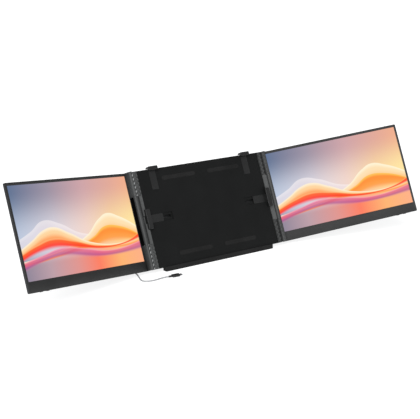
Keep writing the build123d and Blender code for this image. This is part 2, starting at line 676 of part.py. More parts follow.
def cover_screws():
    seat = FRAME_BACK - COVER_HEAD_T - SCREW_SUNK
    screws = []
    for x, z in cover_screw_places():
        head = peg(COVER_HEAD_R, x, z, seat, FRAME_BACK - SCREW_SUNK)
        shank = peg(COVER_SCREW_R, x, z, PLATE_REAR + 2 * COVER_SCREW_LEAD, seat)
        drive = peg(COVER_HEAD_R * HEX_SHARE, x, z, seat + COVER_HEAD_T * 0.3, FRAME_BACK)
        screws.append(head + shank - drive)
    return Compound(screws)


def lid_pads():
    """Four rubber strips that the laptop's lid rests against."""
    half_w, half_h = PAD_W / 2, PAD_H / 2
    return Compound([
        front_outline(x - half_w, x + half_w, z - half_h, z + half_h, half_h - 0.1,
                      LID_T, PLATE_FRONT)
        for x in (-PAD_X, PAD_X) for z in (PAD_FROM_EDGE, FRAME_H - PAD_FROM_EDGE)])


def desk_foot():
    """Rubber wedge under the frame: level below, cut to the frame's bottom face above."""
    wedge = block(-FOOT_HALF, FOOT_HALF, -FOOT_DEPTH / 2, FOOT_DEPTH / 2, 0, 2 * PLACE_Z)
    below = block(-FOOT_HALF - 1, FOOT_HALF + 1, -FRAME_H, FRAME_H, -FRAME_H, 0)
    return fillet(wedge.edges().filter_by(Axis.Z), FOOT_R) & FRAME_PLACE * below


# ------------------------------------------------------------------ kickstand

def kickstand():
    """Plate that hangs from its barrel, drawn with the pivot at the origin."""
    half = STAND_T / 2
    side = STAND_HALF - STAND_FRAME
    plate = block(-STAND_HALF, STAND_HALF, -half, half, -STAND_PLATE_END, 0)
    window = front_outline(-side, side, -STAND_PLATE_END + STAND_WINDOW_LOW,
                           -STAND_WINDOW_TOP, STAND_WINDOW_R, -half - 1, half + 1)
    barrel = bar(STAND_BARREL_R, 2 * STAND_HALF)
    bore = bar(STAND_PIN_R + RUN_GAP, 2 * STAND_HALF + 2)
    return STAND_PLACE * (plate - window + barrel - bore)


def stand_foot():
    """Rubber bar along the free edge of the kickstand."""
    above = block(-STAND_HALF - 1, STAND_HALF + 1, -2 * STAND_FOOT_R, 2 * STAND_FOOT_R,
                  -STAND_PLATE_END, 0)
    return STAND_PLACE * (Pos(0, 0, -STAND_REACH) * bar(STAND_FOOT_R, 2 * STAND_HALF) - above)


def stand_pin():
    length = 2 * (RECESS_HALF + RECESS_WALL - STAND_PIN_IN)
    return Pos(0, STAND_PIVOT_Y, STAND_PIVOT_Z) * bar(STAND_PIN_R, length)


# ------------------------------------------------------------------ lid holders

def side_clip():
    """Jaw round the lid's side edge, with the arm that slides in the front plate."""
    back = RAIL_MID_FRONT - CLIP_BACK_GAP
    z0, z1 = CLIP_MID - CLIP_H / 2, CLIP_MID + CLIP_H / 2
    jaw = front_outline(LID_HALF - CLIP_LAP, JAW_OUTER, z0, z1, GRIP_R, JAW_FRONT, back)
    jaw = fillet(jaw.faces().sort_by(Axis.Y)[0].edges(), GRIP_EDGE)
    jaw -= block(0, JAW_INNER, -GRIP_PAD_T, back + 1, z0 - 1, z1 + 1)
    half = CLIP_ARM_H / 2
    arm = block(CLIP_ARM_END, JAW_OUTER, ARM_FRONT, ARM_REAR, CLIP_MID - half, CLIP_MID + half)
    root = block(JAW_INNER, JAW_OUTER, back, ARM_FRONT, CLIP_MID - half, CLIP_MID + half)
    neck_x = CLIP_ARM_END + RETAINER_RIM
    neck = block(neck_x, neck_x + NECK_L, ARM_REAR, GUIDE_REAR + SLIDE_GAP,
                 CLIP_MID - NECK_W / 2, CLIP_MID + NECK_W / 2)
    return jaw + arm + root + neck


def clip_pad():
    """Rubber lining inside the jaw: one leg on the lid's side, one on its front."""
    half = CLIP_H / 2 - GRIP_PAD_INSET
    z0, z1 = CLIP_MID - half, CLIP_MID + half
    rear = RAIL_MID_FRONT - CLIP_BACK_GAP - GRIP_PAD_LIP
    side_leg = block(LID_HALF, JAW_INNER, -GRIP_PAD_T, rear, z0, z1)
    return side_leg + block(LID_HALF - CLIP_LAP + GRIP_PAD_LIP, LID_HALF, -GRIP_PAD_T, 0, z0, z1)


def clip_retainer():
    x0 = CLIP_ARM_END + RETAINER_RIM / 2
    half = CLIP_ARM_H / 2
    y0 = GUIDE_REAR + SLIDE_GAP
    return block(x0, x0 + NECK_L + RETAINER_RIM, y0, y0 + RETAINER_T,
                 CLIP_MID - half, CLIP_MID + half)


def top_hook():
    """Hook over the lid's top edge, with the arm that slides in the front plate."""
    under = LID_TOP + GRIP_PAD_T
    half = HOOK_W / 2
    jaw = front_outline(HOOK_X - half, HOOK_X + half, LID_TOP - HOOK_LAP, under + HOOK_BRIDGE,
                        GRIP_R, JAW_FRONT, ARM_REAR + HOOK_BACK)
    jaw = fillet(jaw.faces().sort_by(Axis.Y)[0].edges(), GRIP_EDGE)
    jaw -= block(HOOK_X - half - 1, HOOK_X + half + 1, -GRIP_PAD_T, FRAME_BACK, 0, under)
    arm_half = HOOK_ARM_W / 2
    arm = block(HOOK_X - arm_half, HOOK_X + arm_half, ARM_FRONT, ARM_REAR,
                FRAME_H - HOOK_ARM_L, under)
    neck_z = FRAME_H - HOOK_ARM_L + RETAINER_RIM
    neck = block(HOOK_X - NECK_W / 2, HOOK_X + NECK_W / 2, ARM_REAR, GUIDE_REAR + SLIDE_GAP,
                 neck_z, neck_z + NECK_L_HOOK)
    return jaw + arm + neck


def hook_pad():
    """Rubber lining inside the hook: one leg on the lid's top, one on its front."""
    half = HOOK_W / 2 - GRIP_PAD_INSET
    x0, x1 = HOOK_X - half, HOOK_X + half
    top_leg = block(x0, x1, -GRIP_PAD_T, LID_T - GRIP_PAD_LIP, LID_TOP, LID_TOP + GRIP_PAD_T)
    low = LID_TOP - HOOK_LAP + GRIP_PAD_LIP
    return top_leg + block(x0, x1, -GRIP_PAD_T, 0, low, LID_TOP)


def hook_retainer():
    z0 = FRAME_H - HOOK_ARM_L + RETAINER_RIM / 2
    half = HOOK_ARM_W / 2 - RETAINER_RIM / 2
    y0 = GUIDE_REAR + SLIDE_GAP
    return block(HOOK_X - half, HOOK_X + half, y0, y0 + RETAINER_T,
                 z0, z0 + NECK_L_HOOK + RETAINER_RIM)


# ------------------------------------------------------------------ board and cable

def control_board():
    rear = BOARD_FRONT + BOARD_T
    board = block(BOARD_X0, BOARD_X1, BOARD_FRONT, rear, BOARD_LOW, BOARD_HIGH)
    for in_x, in_z, size in CHIPS:
        x, z = BOARD_X1 - in_x, BOARD_LOW + in_z
        board += block(x - size / 2, x + size / 2, rear, rear + CHIP_T,
                       z - size / 2, z + size / 2)
    return board


def socket_shape(x):
    """Metal shell of one socket with its tongue, open to the rear."""
    y0 = BOARD_FRONT + BOARD_T
    y1 = FRAME_BACK - SOCKET_SUNK
    half_w, half_h = SOCKET_W / 2, SOCKET_H / 2
    wall = SOCKET_SHELL
    outer = front_outline(x - half_w, x + half_w, SOCKET_Z - half_h, SOCKET_Z + half_h,
                          half_h - 0.05, y0, y1)
    inside = front_outline(x - half_w + wall, x + half_w - wall, SOCKET_Z - half_h + wall,
                           SOCKET_Z + half_h - wall, half_h - wall - 0.05, y1 - SOCKET_L, y1 + 1)
    tongue = block(x - TONGUE_W / 2, x + TONGUE_W / 2, y0, y1 - TONGUE_SUNK,
                   SOCKET_Z - TONGUE_T / 2, SOCKET_Z + TONGUE_T / 2)
    return outer - inside + tongue


def usb_c_sockets():
    return Compound([socket_shape(x) for x in SOCKET_X])


def plug_shape():
    """USB-C plug with its tip at the origin, drawn along +X: metal tip and moulded body."""
    wall = PLUG_TIP_WALL
    tip = RectangleRounded(PLUG_TIP_H, PLUG_TIP_W, PLUG_TIP_H / 2 - 0.05)
    mouth = RectangleRounded(PLUG_TIP_H - 2 * wall, PLUG_TIP_W - 2 * wall,
                             PLUG_TIP_H / 2 - wall - 0.05)
    body = extrude(RectangleRounded(PLUG_H, PLUG_W, PLUG_H / 2 - 0.4), PLUG_L)
    body = fillet(body.faces().sort_by(Axis.Z)[-1].edges(), PLUG_EDGE)
    shell = extrude(tip, PLUG_TIP_L) - extrude(mouth, PLUG_TIP_L - wall)
    return Rot(0, 90, 0) * (shell + Pos(0, 0, PLUG_TIP_L) * body)


def relief_shape():
    """Tapered sleeve behind the plug."""
    cone = Cone(PLUG_H / 2 - 0.6, CORD_D / 2 + 0.35, RELIEF_L)
    return Pos(PLUG_TIP_L + PLUG_L + RELIEF_L / 2, 0, 0) * Rot(0, 90, 0) * cone


def cord():
    """Cable as one tube: straight runs joined by arcs as large as the runs allow."""
    first = (FRAME_PLUG_PLACE * Pos(CORD_END, 0, 0)).position
    last = (LAPTOP_PLUG_PLACE * Pos(CORD_END, 0, 0)).position
    points = [first] + [Vector(*point) for point in CORD_POINTS] + [last]
    radii = []
    for before, here, after in zip(points, points[1:], points[2:]):
        turn = (here - before).get_angle(after - here)
        run = min((here - before).length, (after - here).length)
        radii.append(0.45 * run / tan(radians(turn) / 2))
    path = FilletPolyline(*points, radius=radii)
    start = Plane(origin=first, z_dir=points[1] - first)
    tube = sweep(start * Circle(CORD_D / 2), path=path)
    section = pi * CORD_D ** 2 / 4
    print("cord length", round(path.length, 1), "from", first, "to", last)
    print("cord radii", [round(radius, 1) for radius in radii])
    print("cord volume", round(tube.volume, 1), "section x length", round(section * path.length, 1))
    return tube


# ------------------------------------------------------------------ assembly

def frame_pieces():
    pieces = {
        "front_plate": FRAME_PLACE * front_plate(),
        "back_cover": FRAME_PLACE * back_cover(),
        "cover_screws": FRAME_PLACE * cover_screws(),
        "lid_pads": FRAME_PLACE * lid_pads(),
        "desk_foot": desk_foot(),
        "kickstand": kickstand(),
        "kickstand_foot": stand_foot(),
        "kickstand_pin": FRAME_PLACE * stand_pin(),
        "control_board": FRAME_PLACE * control_board(),
        "usb_c_sockets": FRAME_PLACE * usb_c_sockets(),
        "cable": cord(),
        "frame_plug": FRAME_PLUG_PLACE * plug_shape(),
        "frame_plug_relief": FRAME_PLUG_PLACE * relief_shape(),
        "laptop_plug": LAPTOP_PLUG_PLACE * plug_shape(),
        "laptop_plug_relief": LAPTOP_PLUG_PLACE * relief_shape(),
    }
    for side in SIDES:
        name = SIDE_NAME[side]
        pieces[f"{name}_rail"] = on_side(rail(), side)
        pieces[f"{name}_rail_trims"] = on_side(rail_trims(), side)
        pieces[f"{name}_middle_barrel"] = on_side(middle_barrel(side), side)
        pieces[f"{name}_hinge_pins"] = on_side(hinge_pins(side), side)
        pieces[f"{name}_side_clip"] = on_side(side_clip(), side)
        pieces[f"{name}_clip_pad"] = on_side(clip_pad(), side)
        pieces[f"{name}_clip_retainer"] = on_side(clip_retainer(), side)
        pieces[f"{name}_top_hook"] = on_side(top_hook(), side)
        pieces[f"{name}_hook_pad"] = on_side(hook_pad(), side)
        pieces[f"{name}_hook_retainer"] = on_side(hook_retainer(), side)
    return pieces


def main():
    os.makedirs("parts", exist_ok=True)
    pieces = frame_pieces()
    for side in SIDES:
        pieces.update(screen_pieces(side))
    for name, solid in pieces.items():
        export_step(solid, f"parts/{name}.step")
    print(len(pieces), "pieces, kickstand opening", round(STAND_SWING + LEAN, 3), "pivot", PIVOT)
    print("axis depths", AXIS_DEPTH, "hinge x", HINGE_X, "placement", PLACE_Y, PLACE_Z)


main()
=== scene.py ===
"""Looks of a laptop screen extender: two hinged side screens on a leaning centre frame.

Frame coordinates (x, y, z), in millimetres, stand upright on the frame's bottom edge, and y is
the depth behind the front of the laptop's lid.  Screen coordinates have the hinge axis at
x = y = 0, with the screen pointing along +x and facing -y.  Meshes are in metres, in world places.
"""

import json
from math import cos, pi, radians, sin

import bmesh
import bpy
import numpy as np
from mathutils import Matrix


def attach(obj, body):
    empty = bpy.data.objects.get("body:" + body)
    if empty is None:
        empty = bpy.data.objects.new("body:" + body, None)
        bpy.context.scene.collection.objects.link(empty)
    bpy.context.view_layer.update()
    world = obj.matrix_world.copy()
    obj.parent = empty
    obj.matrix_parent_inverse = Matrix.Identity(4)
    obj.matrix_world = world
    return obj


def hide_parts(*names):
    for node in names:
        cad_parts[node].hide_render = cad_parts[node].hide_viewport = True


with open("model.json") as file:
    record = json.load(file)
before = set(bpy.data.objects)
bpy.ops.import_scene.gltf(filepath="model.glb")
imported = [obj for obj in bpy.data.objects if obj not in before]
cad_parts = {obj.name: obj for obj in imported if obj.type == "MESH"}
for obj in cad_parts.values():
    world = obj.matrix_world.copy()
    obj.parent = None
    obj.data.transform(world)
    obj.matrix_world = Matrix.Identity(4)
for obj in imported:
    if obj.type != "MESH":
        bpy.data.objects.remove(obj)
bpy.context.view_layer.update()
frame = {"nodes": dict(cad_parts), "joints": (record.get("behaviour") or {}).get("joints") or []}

MM = 0.001
SIDES = {"left": -1, "right": 1}
JOINTS = {joint["name"]: joint for joint in frame["joints"]}

# ------------------------------------------------------------------ sizes, mm

LEAN = radians(20.7)            # the frame leans back with the laptop's lid
WING_ANGLE = radians(19.3)      # the screens turn forward from the plane of the frame
FRAME_H = 222.8
HINGE_X = 186.2
AXIS_DEPTH = {"left": 2.25, "right": 5.5}
FACE_DROP = {"left": 12.25, "right": 9.0}       # hinge axis to the screen's face

SCREEN_X = (4.5, 356.0)
SCREEN_T = 6.0
DISPLAY_X = (6.5, 350.7)
DISPLAY_Z = (22.9, 216.5)
BEZEL_T = 0.9
BEZEL_ROUND = 0.35              # rounding of the bezel's outer edge
BEZEL_SLOPE = 0.45              # width of the slope down to the glass
BEZEL_SLOPE_T = 0.3
CORNER_R = 3.0
HINGE_CORNER_R = 0.4
OPENING_R = 0.5
GLASS_T = 0.9
GLASS_LAP = 0.8
GLASS_CORNER_R = 0.3

BARREL_R = 5.1
BARREL_Z = (56.65, 166.15)      # joints between the knuckles and the fixed barrel
JOINT_GAP = 0.25
BORE_R, BORE_L = 2.05, 42.6     # for the hinge pins
ARM_FOOT = 3.5                  # knuckle's arm at the back of the screen
BARREL_TURNS = ((-220, -145, 5), (-145, -40, 1.5), (-40, 0.1, 5))
                                # from the arm's root round to the wall: from, to, pitch, degrees
KNUCKLE_EDGE = 0.5              # rounding of the knuckles' free ends
KNUCKLE_STEP = 0.25             # pitch of a knuckle's points along its axis
STUD_ANGLE = {"left": radians(-100), "right": radians(-83)}     # lozenges down the knuckles
STUD_SHIFT = {"left": -3.6, "right": -5.4}      # of their row, from the knuckle's middle
STUD = (1.8, 4.2, 0.5, 0.35)    # half width, half height, rise, lean of a lozenge
STUD_BED = (2.8, 5.4, 0.5)      # half width, half height, depth of the hollow round it
STUD_EDGE = 3.0                 # how steeply both reach their full height or depth
STUD_FADE = 1.5                 # towards a knuckle's ends both fade out over this length
SKIRT = (0.3, 6.2, 0.9)         # skirt below the upper knuckle: inner x, nearest y, height

RAIL_X = (168.0, 179.7)
# painted shade on the front of the left rail next to its barrel
RAIL_CORNER_SHADE = (175.0, 176.8, 0.15)      # beside the left barrel its tone falls: from, to, least
FRONT_FACING = (-0.5, -0.2)     # over this span of its normal's y a surface stops being a front
TRIM_INSET = 0.3
TRIM_STEP = 0.3                 # pitch of a trim's points along the rail
TRIM_COLUMNS = (25, 21)         # points across its facets and across its bevel
TRIM_LEAST_T = 0.05
TRIM_FRONT, TRIM_BACK = 3.8, 6.0        # depths of the facets' tips and of the trim's back
TRIM_LIP = (179.2, 180.6, 0.4, 0.6)     # lip behind the trim, between it and the knuckle:
                                # near edge, far edge, thickness, lap over the middle barrel
FACET_PITCH, FACET_DEPTH = 9.3, 1.5
BEVEL_W, BEVEL_DROP = 4.0, 2.0  # bevel towards the hinge, and how far back it falls
GEM = (1.1, 4.2)                # half width and half height of the lozenges on the bevel
GEM_AT, GEM_RISE = 2.85, 1.0    # their middle from the bevel's inner edge, and their height
GEM_EDGE = 1.6                  # how steeply they reach their full height
GEM_SHIFT = {"left": -3.6, "right": 0.0}        # of the lozenges' row, from the segment's middle
# Share of the lacquer's colour that is left on the trims: facets, bevel, lozenges.  It holds
# painted light and shade: the left side is lighter and the right darker, most on the bevel and
# its lozenges, a painted highlight on the left and painted shade on the right.
TRIM_LIGHT_AND_SHADE = {"left": (0.14, 0.165, 0.24), "right": (0.11, 0.05, 0.015)}
# The same on a knuckle, with painted light and shade: painted shade in its hollows, and its
# lozenges a painted highlight on the left and painted shade on the right; then its barrel's own
# share; and painted shade where it meets its screen, at the frame's bottom edge and at its top.
STUD_SHADE_AND_HIGHLIGHT = {"left": (0.08, 1.0), "right": (0.08, 0.17)}
BARREL_TONE = 0.125
WALL_SHADES = (0.0, 0.055)

PAD_X, PAD_FROM_EDGE = 62.0, 24.4
PAD_W, PAD_H, PAD_T = 90.0, 10.0, 0.5
PAD_FRONT = 6.0
PAD_RIB = 2.5                   # pitch of the pads' ribs
PAD_RIB_DEPTH = 0.25
PAD_RIB_END = (1.0, 0.15)       # ribs fade out at the rim: over a length, and a share of the width

CORD_D = 3.2
PLUG_TIP = (8.2, 2.4, 6.4)      # width, thickness, length
PLUG_TIP_WALL = 0.4
PLUG_TIP_LIP = (0.2, 0.06)      # length of the rolled lip, and how far its corner is drawn in
PLUG_BODY = (11.6, 6.0, 17.0)
PLUG_FRONT_EDGE, PLUG_EDGE = 0.3, 1.0   # rounding of the body's front and rear edge
TIP_FLAT, BODY_FLAT = 0.05, 0.4         # half thickness less the radius of a section's corners
GRIP = (6, 1.6, 4.0, 0.28)      # grooves: count, pitch, first one from the tip's root, depth
GRIP_SECTION = (0.45, 0.15)     # half widths of a groove at its mouth and its floor
RELIEF_L = 9.0
RELIEF_R = (2.4, 1.95)
RING = (5, 1.6, 1.3, 0.4)       # cut rings: count, pitch, first one from the body, depth
RING_SECTION = (0.4, 0.2)
RELIEF_EDGE = (0.3, 0.2)        # length and depth of the bevel at the sleeve's end
FRAME_PLUG_TIP = (-150.0, 12.4, 24.0)           # frame coordinates
LAPTOP_PLUG_TIP = (-141.4, -56.0, 3.0)          # on the desk
LAPTOP_PLUG_TURN = radians(174.0)
# Route of the cable between its two strain reliefs, most of it on the desk.
CORD_POINTS = [
    (-150.0, 60.0, 11.0),
    (-153.0, 82.0, 3.0),
    (-163.0, 104.0, 1.6),
    (-186.0, 116.0, 1.6),
    (-210.0, 107.0, 1.6),
    (-222.0, 84.0, 1.6),
    (-220.0, 60.0, 1.6),
    (-213.0, 40.0, 1.6),
    (-211.5, 19.5, 1.6),
    (-220.5, -4.5, 1.6),
    (-229.0, -26.0, 1.6),
    (-232.3, -41.5, 1.6),
    (-221.5, -51.2, 1.6),
    (-204.0, -52.2, 1.6),
    (-187.5, -51.15, 3.0),
]

# ------------------------------------------------------------------ places

ACROSS = np.array([1.0, 0.0, 0.0])
BACK = np.array([0.0, cos(LEAN), -sin(LEAN)])
UP = np.array([0.0, sin(LEAN), cos(LEAN)])


def hinge_foot(side):
    """Point of a screen's hinge axis at the height of the frame's bottom edge."""
    return np.array(JOINTS[f"{side}_screen_fold"]["pos_m"]) - UP * FRAME_H / 2 * MM


ORIGIN = hinge_foot("right") - (ACROSS * HINGE_X + BACK * AXIS_DEPTH["right"]) * MM


def in_frame(points):
    """Frame coordinates, mm, as world places, m."""
    return ORIGIN + np.asarray(points, float) * MM @ np.array([ACROSS, BACK, UP])


def in_wing(points, side):
    """Screen coordinates, mm, as world places, m."""
    sign = SIDES[side]
    along = sign * cos(WING_ANGLE) * ACROSS - sin(WING_ANGLE) * BACK
    behind = sign * sin(WING_ANGLE) * ACROSS + cos(WING_ANGLE) * BACK
    return hinge_foot(side) + np.asarray(points, float) * MM @ np.array([along, behind, UP])


def in_plug(points, which):
    """Plug coordinates, mm: length from the tip, width, thickness, as world places, m."""
    if which == "frame":
        tip, along, wide, thick = in_frame(FRAME_PLUG_TIP), BACK, ACROSS, UP
    else:
        tip = np.array(LAPTOP_PLUG_TIP) * MM
        along = np.array([cos(LAPTOP_PLUG_TURN), sin(LAPTOP_PLUG_TURN), 0.0])
        wide = np.array([-along[1], along[0], 0.0])
        thick = np.array([0.0, 0.0, 1.0])
    return tip + np.asarray(points, float) * MM @ np.array([along, wide, thick])


# ------------------------------------------------------------------ nodes and meshes

def paint(code):
    """Linear colour of an sRGB hex value."""
    share = np.array([int(code[i:i + 2], 16) for i in (1, 3, 5)]) / 255
    linear = np.where(share <= 0.04045, share / 12.92, ((share + 0.055) / 1.055) ** 2.4)
    return (*linear.tolist(), 1.0)


def add(tree, kind, values=None, stops=None, points=None, **settings):
    """One node with its settings.  A value is another node's socket or a constant."""
    node = tree.nodes.new(kind)
    for name, setting in settings.items():
        setattr(node, name, setting)
    for key, value in (values or {}).items():
        if isinstance(value, bpy.types.NodeSocket):
            tree.links.new(value, node.inputs[key])
        else:
            node.inputs[key].default_value = value
    if stops:
        ramp = node.color_ramp
        for element, (place, colour) in zip(ramp.elements, (stops[0], stops[-1])):
            element.position = place
            element.color = paint(colour)
        for place, colour in stops[1:-1]:
            ramp.elements.new(place).color = paint(colour)
    if points:
        curve = node.mapping.curves[0]
        curve.points[0].location = points[0]
        curve.points[-1].location = points[-1]
        for place in points[1:-1]:
            curve.points.new(*place)
        node.mapping.update()
    return node


def finish(name, constants):
    """A material with one principled shader, its constants on the shader's own sockets."""
    material = bpy.data.materials.new(name)
    material.use_nodes = True
    shader = material.node_tree.nodes["Principled BSDF"]
    for socket, value in constants.items():
        shader.inputs[socket].default_value = value
    return material, material.node_tree, shader


def grid(points, wrap_u=False, wrap_v=False):
    """Corners and quads of a grid of points, joined to its first row or column where it wraps."""
    points = np.asarray(points, float)
    rows, columns = points.shape[:2]
    u, v = np.meshgrid(np.arange(rows - (not wrap_u)), np.arange(columns - (not wrap_v)),
                       indexing="ij")
    next_u, next_v = (u + 1) % rows, (v + 1) % columns
    quads = np.stack([u * columns + v, next_u * columns + v,
                      next_u * columns + next_v, u * columns + next_v], -1)
    return points.reshape(-1, 3), quads.reshape(-1, 4)


def piece(name, grids, material, body, nodes, crease=35.0, uv=None):
    """One piece from its grids: seams and poles merged, faces outwards, on its body.

    uv holds a place on the piece's own map for every corner of its grids."""
    starts = np.cumsum([0] + [len(corners) for corners, _ in grids])
    corners = np.concatenate([corners for corners, _ in grids])
    quads = np.concatenate([faces + start for (_, faces), start in zip(grids, starts)])
    mesh = bpy.data.meshes.new(name)
    mesh.from_pydata(corners.tolist(), [], quads.tolist())
    if uv is not None:
        owners = np.zeros(len(mesh.loops), int)
        mesh.loops.foreach_get("vertex_index", owners)
        mesh.uv_layers.new(name="panel").data.foreach_set("uv", np.asarray(uv)[owners].ravel())
    shape = bmesh.new()
    shape.from_mesh(mesh)
    bmesh.ops.remove_doubles(shape, verts=shape.verts, dist=1e-7)
    bmesh.ops.dissolve_degenerate(shape, edges=shape.edges, dist=1e-7)
    bmesh.ops.recalc_face_normals(shape, faces=shape.faces)
    shape.to_mesh(mesh)
    shape.free()
    mesh.shade_smooth()
    mesh.set_sharp_from_angle(angle=radians(crease))
    mesh.materials.append(material)
    thing = bpy.data.objects.new(name, mesh)
    bpy.context.scene.collection.objects.link(thing)
    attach(thing, body)
    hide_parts(*nodes)
    return thing


def rounded_loop(x0, x1, z0, z1, radii, steps=6):
    """Closed outline of a rectangle whose corners are quarter circles, from the low left one."""
    radii = np.broadcast_to(np.asarray(radii, float), 4)[:, None]
    signs = np.array([(-1, -1), (1, -1), (1, 1), (-1, 1)])
    centres = np.where(signs < 0, (x0, z0), (x1, z1)) - signs * radii
    turns = np.radians(np.array([180, 270, 0, 90])[:, None] + np.linspace(0, 90, steps))
    ring = np.stack([np.cos(turns), np.sin(turns)], -1) * radii[:, :, None]
    return (centres[:, None] + ring).reshape(-1, 2)


def loft(stations, half_wide, half_thick, radius):
    """Closed body along its length: each station (place, inset) is the section's outline, that
    much smaller all round, and both ends are drawn in to a point."""
    rows = []
    for place, inset in stations:
        wide, thick = half_wide - inset, half_thick - inset
        outline = rounded_loop(-wide, wide, -thick, thick, max(radius - inset, 0.02))
        rows.append(np.column_stack([np.full(len(outline), place), outline]))
    for end, row in ((0, rows[0]), (len(rows) + 1, rows[-1])):
        rows.insert(end, np.column_stack([row[:, 0], np.zeros((len(row), 2))]))
    return np.array(rows)


def turned(profile, steps=24):
    """Profile of (place, radius) pairs turned round the length, its ends drawn in to a point."""
    profile = np.array([(profile[0][0], 0.0), *profile, (profile[-1][0], 0.0)])
    turn = np.linspace(0, 2 * pi, steps, endpoint=False)
    place, radius = profile[:, :1], profile[:, 1:]
    return np.stack([place + 0 * turn, radius * np.cos(turn), radius * np.sin(turn)], -1)


# ------------------------------------------------------------------ camera, light, floor

CAMERA_PLACE = (-1.34166, -1.94352, 0.63999)
CAMERA_YAW, CAMERA_PITCH, CAMERA_ROLL = radians(34.174), radians(12.478), radians(-2.2285)
FOCAL_PX, IMAGE_W = 1061.69, 420
SENSOR = 36.0
FLOOR_R = 100.0                 # metres
KEY_FROM = (-0.62, -0.62, 0.62)
KEY_STRENGTH, KEY_SPREAD = 2.7, radians(50)
FLOOR_GLOW = 0.78               # keeps the floor near white beside the part
ROOM_LIGHT, BACKDROP = 0.4, 1.05        # strengths of the room's light, and of the wall as seen


def new_camera():
    """Camera at CAMERA_PLACE, turned by yaw, pitch and roll from looking along +Y."""
    forward = np.array([sin(CAMERA_YAW) * cos(CAMERA_PITCH),
                        cos(CAMERA_YAW) * cos(CAMERA_PITCH), -sin(CAMERA_PITCH)])
    level = np.array([cos(CAMERA_YAW), -sin(CAMERA_YAW), 0.0])
    above = np.cross(level, forward)
    place = np.eye(4)
    place[:3, 0] = level * cos(CAMERA_ROLL) + above * sin(CAMERA_ROLL)
    place[:3, 1] = above * cos(CAMERA_ROLL) - level * sin(CAMERA_ROLL)
    place[:3, 2] = -forward
    place[:3, 3] = CAMERA_PLACE
    camera = bpy.data.objects.new("camera", bpy.data.cameras.new("camera"))
    camera.data.sensor_fit = "HORIZONTAL"
    camera.data.sensor_width = SENSOR
    camera.data.lens = FOCAL_PX / IMAGE_W * SENSOR
    bpy.context.scene.collection.objects.link(camera)
    camera.matrix_world = Matrix(place.tolist())
    bpy.context.scene.camera = camera


def new_studio():
    """Pale floor, a wide soft key light from the front left, and even light from all round."""
    bpy.context.scene.view_settings.view_transform = "Standard"
    material = finish("pale studio floor", {
        "Base Color": paint("#bcbcbc"), "Roughness": 1.0, "Specular IOR Level": 0.0,
        "Emission Color": paint("#ffffff"), "Emission Strength": FLOOR_GLOW})[0]
    mesh = bpy.data.meshes.new("floor")
    corners = [(-FLOOR_R, -FLOOR_R, 0), (FLOOR_R, -FLOOR_R, 0), (FLOOR_R, FLOOR_R, 0),
               (-FLOOR_R, FLOOR_R, 0)]
    mesh.from_pydata(corners, [], [(0, 1, 2, 3)])
    mesh.materials.append(material)
    floor = bpy.data.objects.new("floor", mesh)
    bpy.context.scene.collection.objects.link(floor)

    key = bpy.data.objects.new("key", bpy.data.lights.new("key", "SUN"))
    key.data.energy = KEY_STRENGTH
    key.data.angle = KEY_SPREAD
    bpy.context.scene.collection.objects.link(key)
    from_key = -np.array(KEY_FROM) / np.linalg.norm(KEY_FROM)
    side = np.cross(from_key, (0, 0, 1))
    side /= np.linalg.norm(side)
    turn = np.eye(4)
    turn[:3, 0], turn[:3, 1], turn[:3, 2] = side, np.cross(side, from_key), -from_key
    key.matrix_world = Matrix(turn.tolist())

    world = bpy.data.worlds.new("studio")
    world.use_nodes = True
    tree = world.node_tree
    seen = add(tree, "ShaderNodeLightPath").outputs["Is Camera Ray"]
    strength = add(tree, "ShaderNodeMapRange", {
        "Value": seen, "To Min": ROOM_LIGHT, "To Max": BACKDROP})
    background = tree.nodes["Background"]
    background.inputs["Color"].default_value = paint("#f2f4f6")
    tree.links.new(strength.outputs["Result"], background.inputs["Strength"])
    bpy.context.scene.world = world


# ------------------------------------------------------------------ finishes

BLEND_SPAN = (0.12, 0.4)        # of speck times cloud, over which a finish goes from dark to light
SPECK_SPAN = (0.3, 0.7)         # of the speck alone, over which it goes from shiny to dull


def grained(name, dark, light, grain, relief, roughness, constants, cloud=45.0):
    """Fine moulded or blasted grain: one noise of the grain's size gives relief, roughness and
    speckle, and a wide cloud shifts the tone a little.  Sizes in mm."""
    material, tree, shader = finish(name, constants)
    place = add(tree, "ShaderNodeTexCoord").outputs["Object"]
    speck = add(tree, "ShaderNodeTexNoise", {
        "Vector": place, "Scale": 1 / (grain * MM), "Detail": 3.0}).outputs["Fac"]
    tone = add(tree, "ShaderNodeTexNoise", {
        "Vector": place, "Scale": 1 / (cloud * MM), "Detail": 2.0}).outputs["Fac"]
    blend = add(tree, "ShaderNodeMath", {0: speck, 1: tone}, operation="MULTIPLY").outputs[0]
    colour = add(tree, "ShaderNodeValToRGB", {"Fac": blend},
                 stops=tuple(zip(BLEND_SPAN, (dark, light))))
    rough = add(tree, "ShaderNodeMapRange", {
        "Value": speck, "From Min": SPECK_SPAN[0], "From Max": SPECK_SPAN[1],
        "To Min": roughness[0], "To Max": roughness[1]})
    bump = add(tree, "ShaderNodeBump", {
        "Height": speck, "Strength": 0.5, "Distance": relief * MM})
    tree.links.new(colour.outputs["Color"], shader.inputs["Base Color"])
    tree.links.new(rough.outputs["Result"], shader.inputs["Roughness"])
    tree.links.new(bump.outputs["Normal"], shader.inputs["Normal"])
    return material


def matte_bezel_abs():
    """Black ABS moulded in a spark-eroded tool: a dull, even charcoal with a fine tooth."""
    return grained("matte spark-eroded abs bezel", "#1a1a1a", "#262626", 0.5, 0.02,
                   (0.5, 0.62), {"IOR": 1.5})


def cover_abs():
    """Textured ABS of the rear covers: coarser grain than the bezel's, slightly worn shine."""
    return grained("textured abs cover", "#1f2021", "#272829", 0.9, 0.05, (0.48, 0.66),
                   {"IOR": 1.5})


def holder_nylon():
    """Glass-filled nylon of the clips and hooks: near black, with a soft sheen on edges."""
    return grained("glass-filled nylon holder", "#0d0d0d", "#191919", 0.35, 0.02, (0.38, 0.5),
                   {"IOR": 1.53})


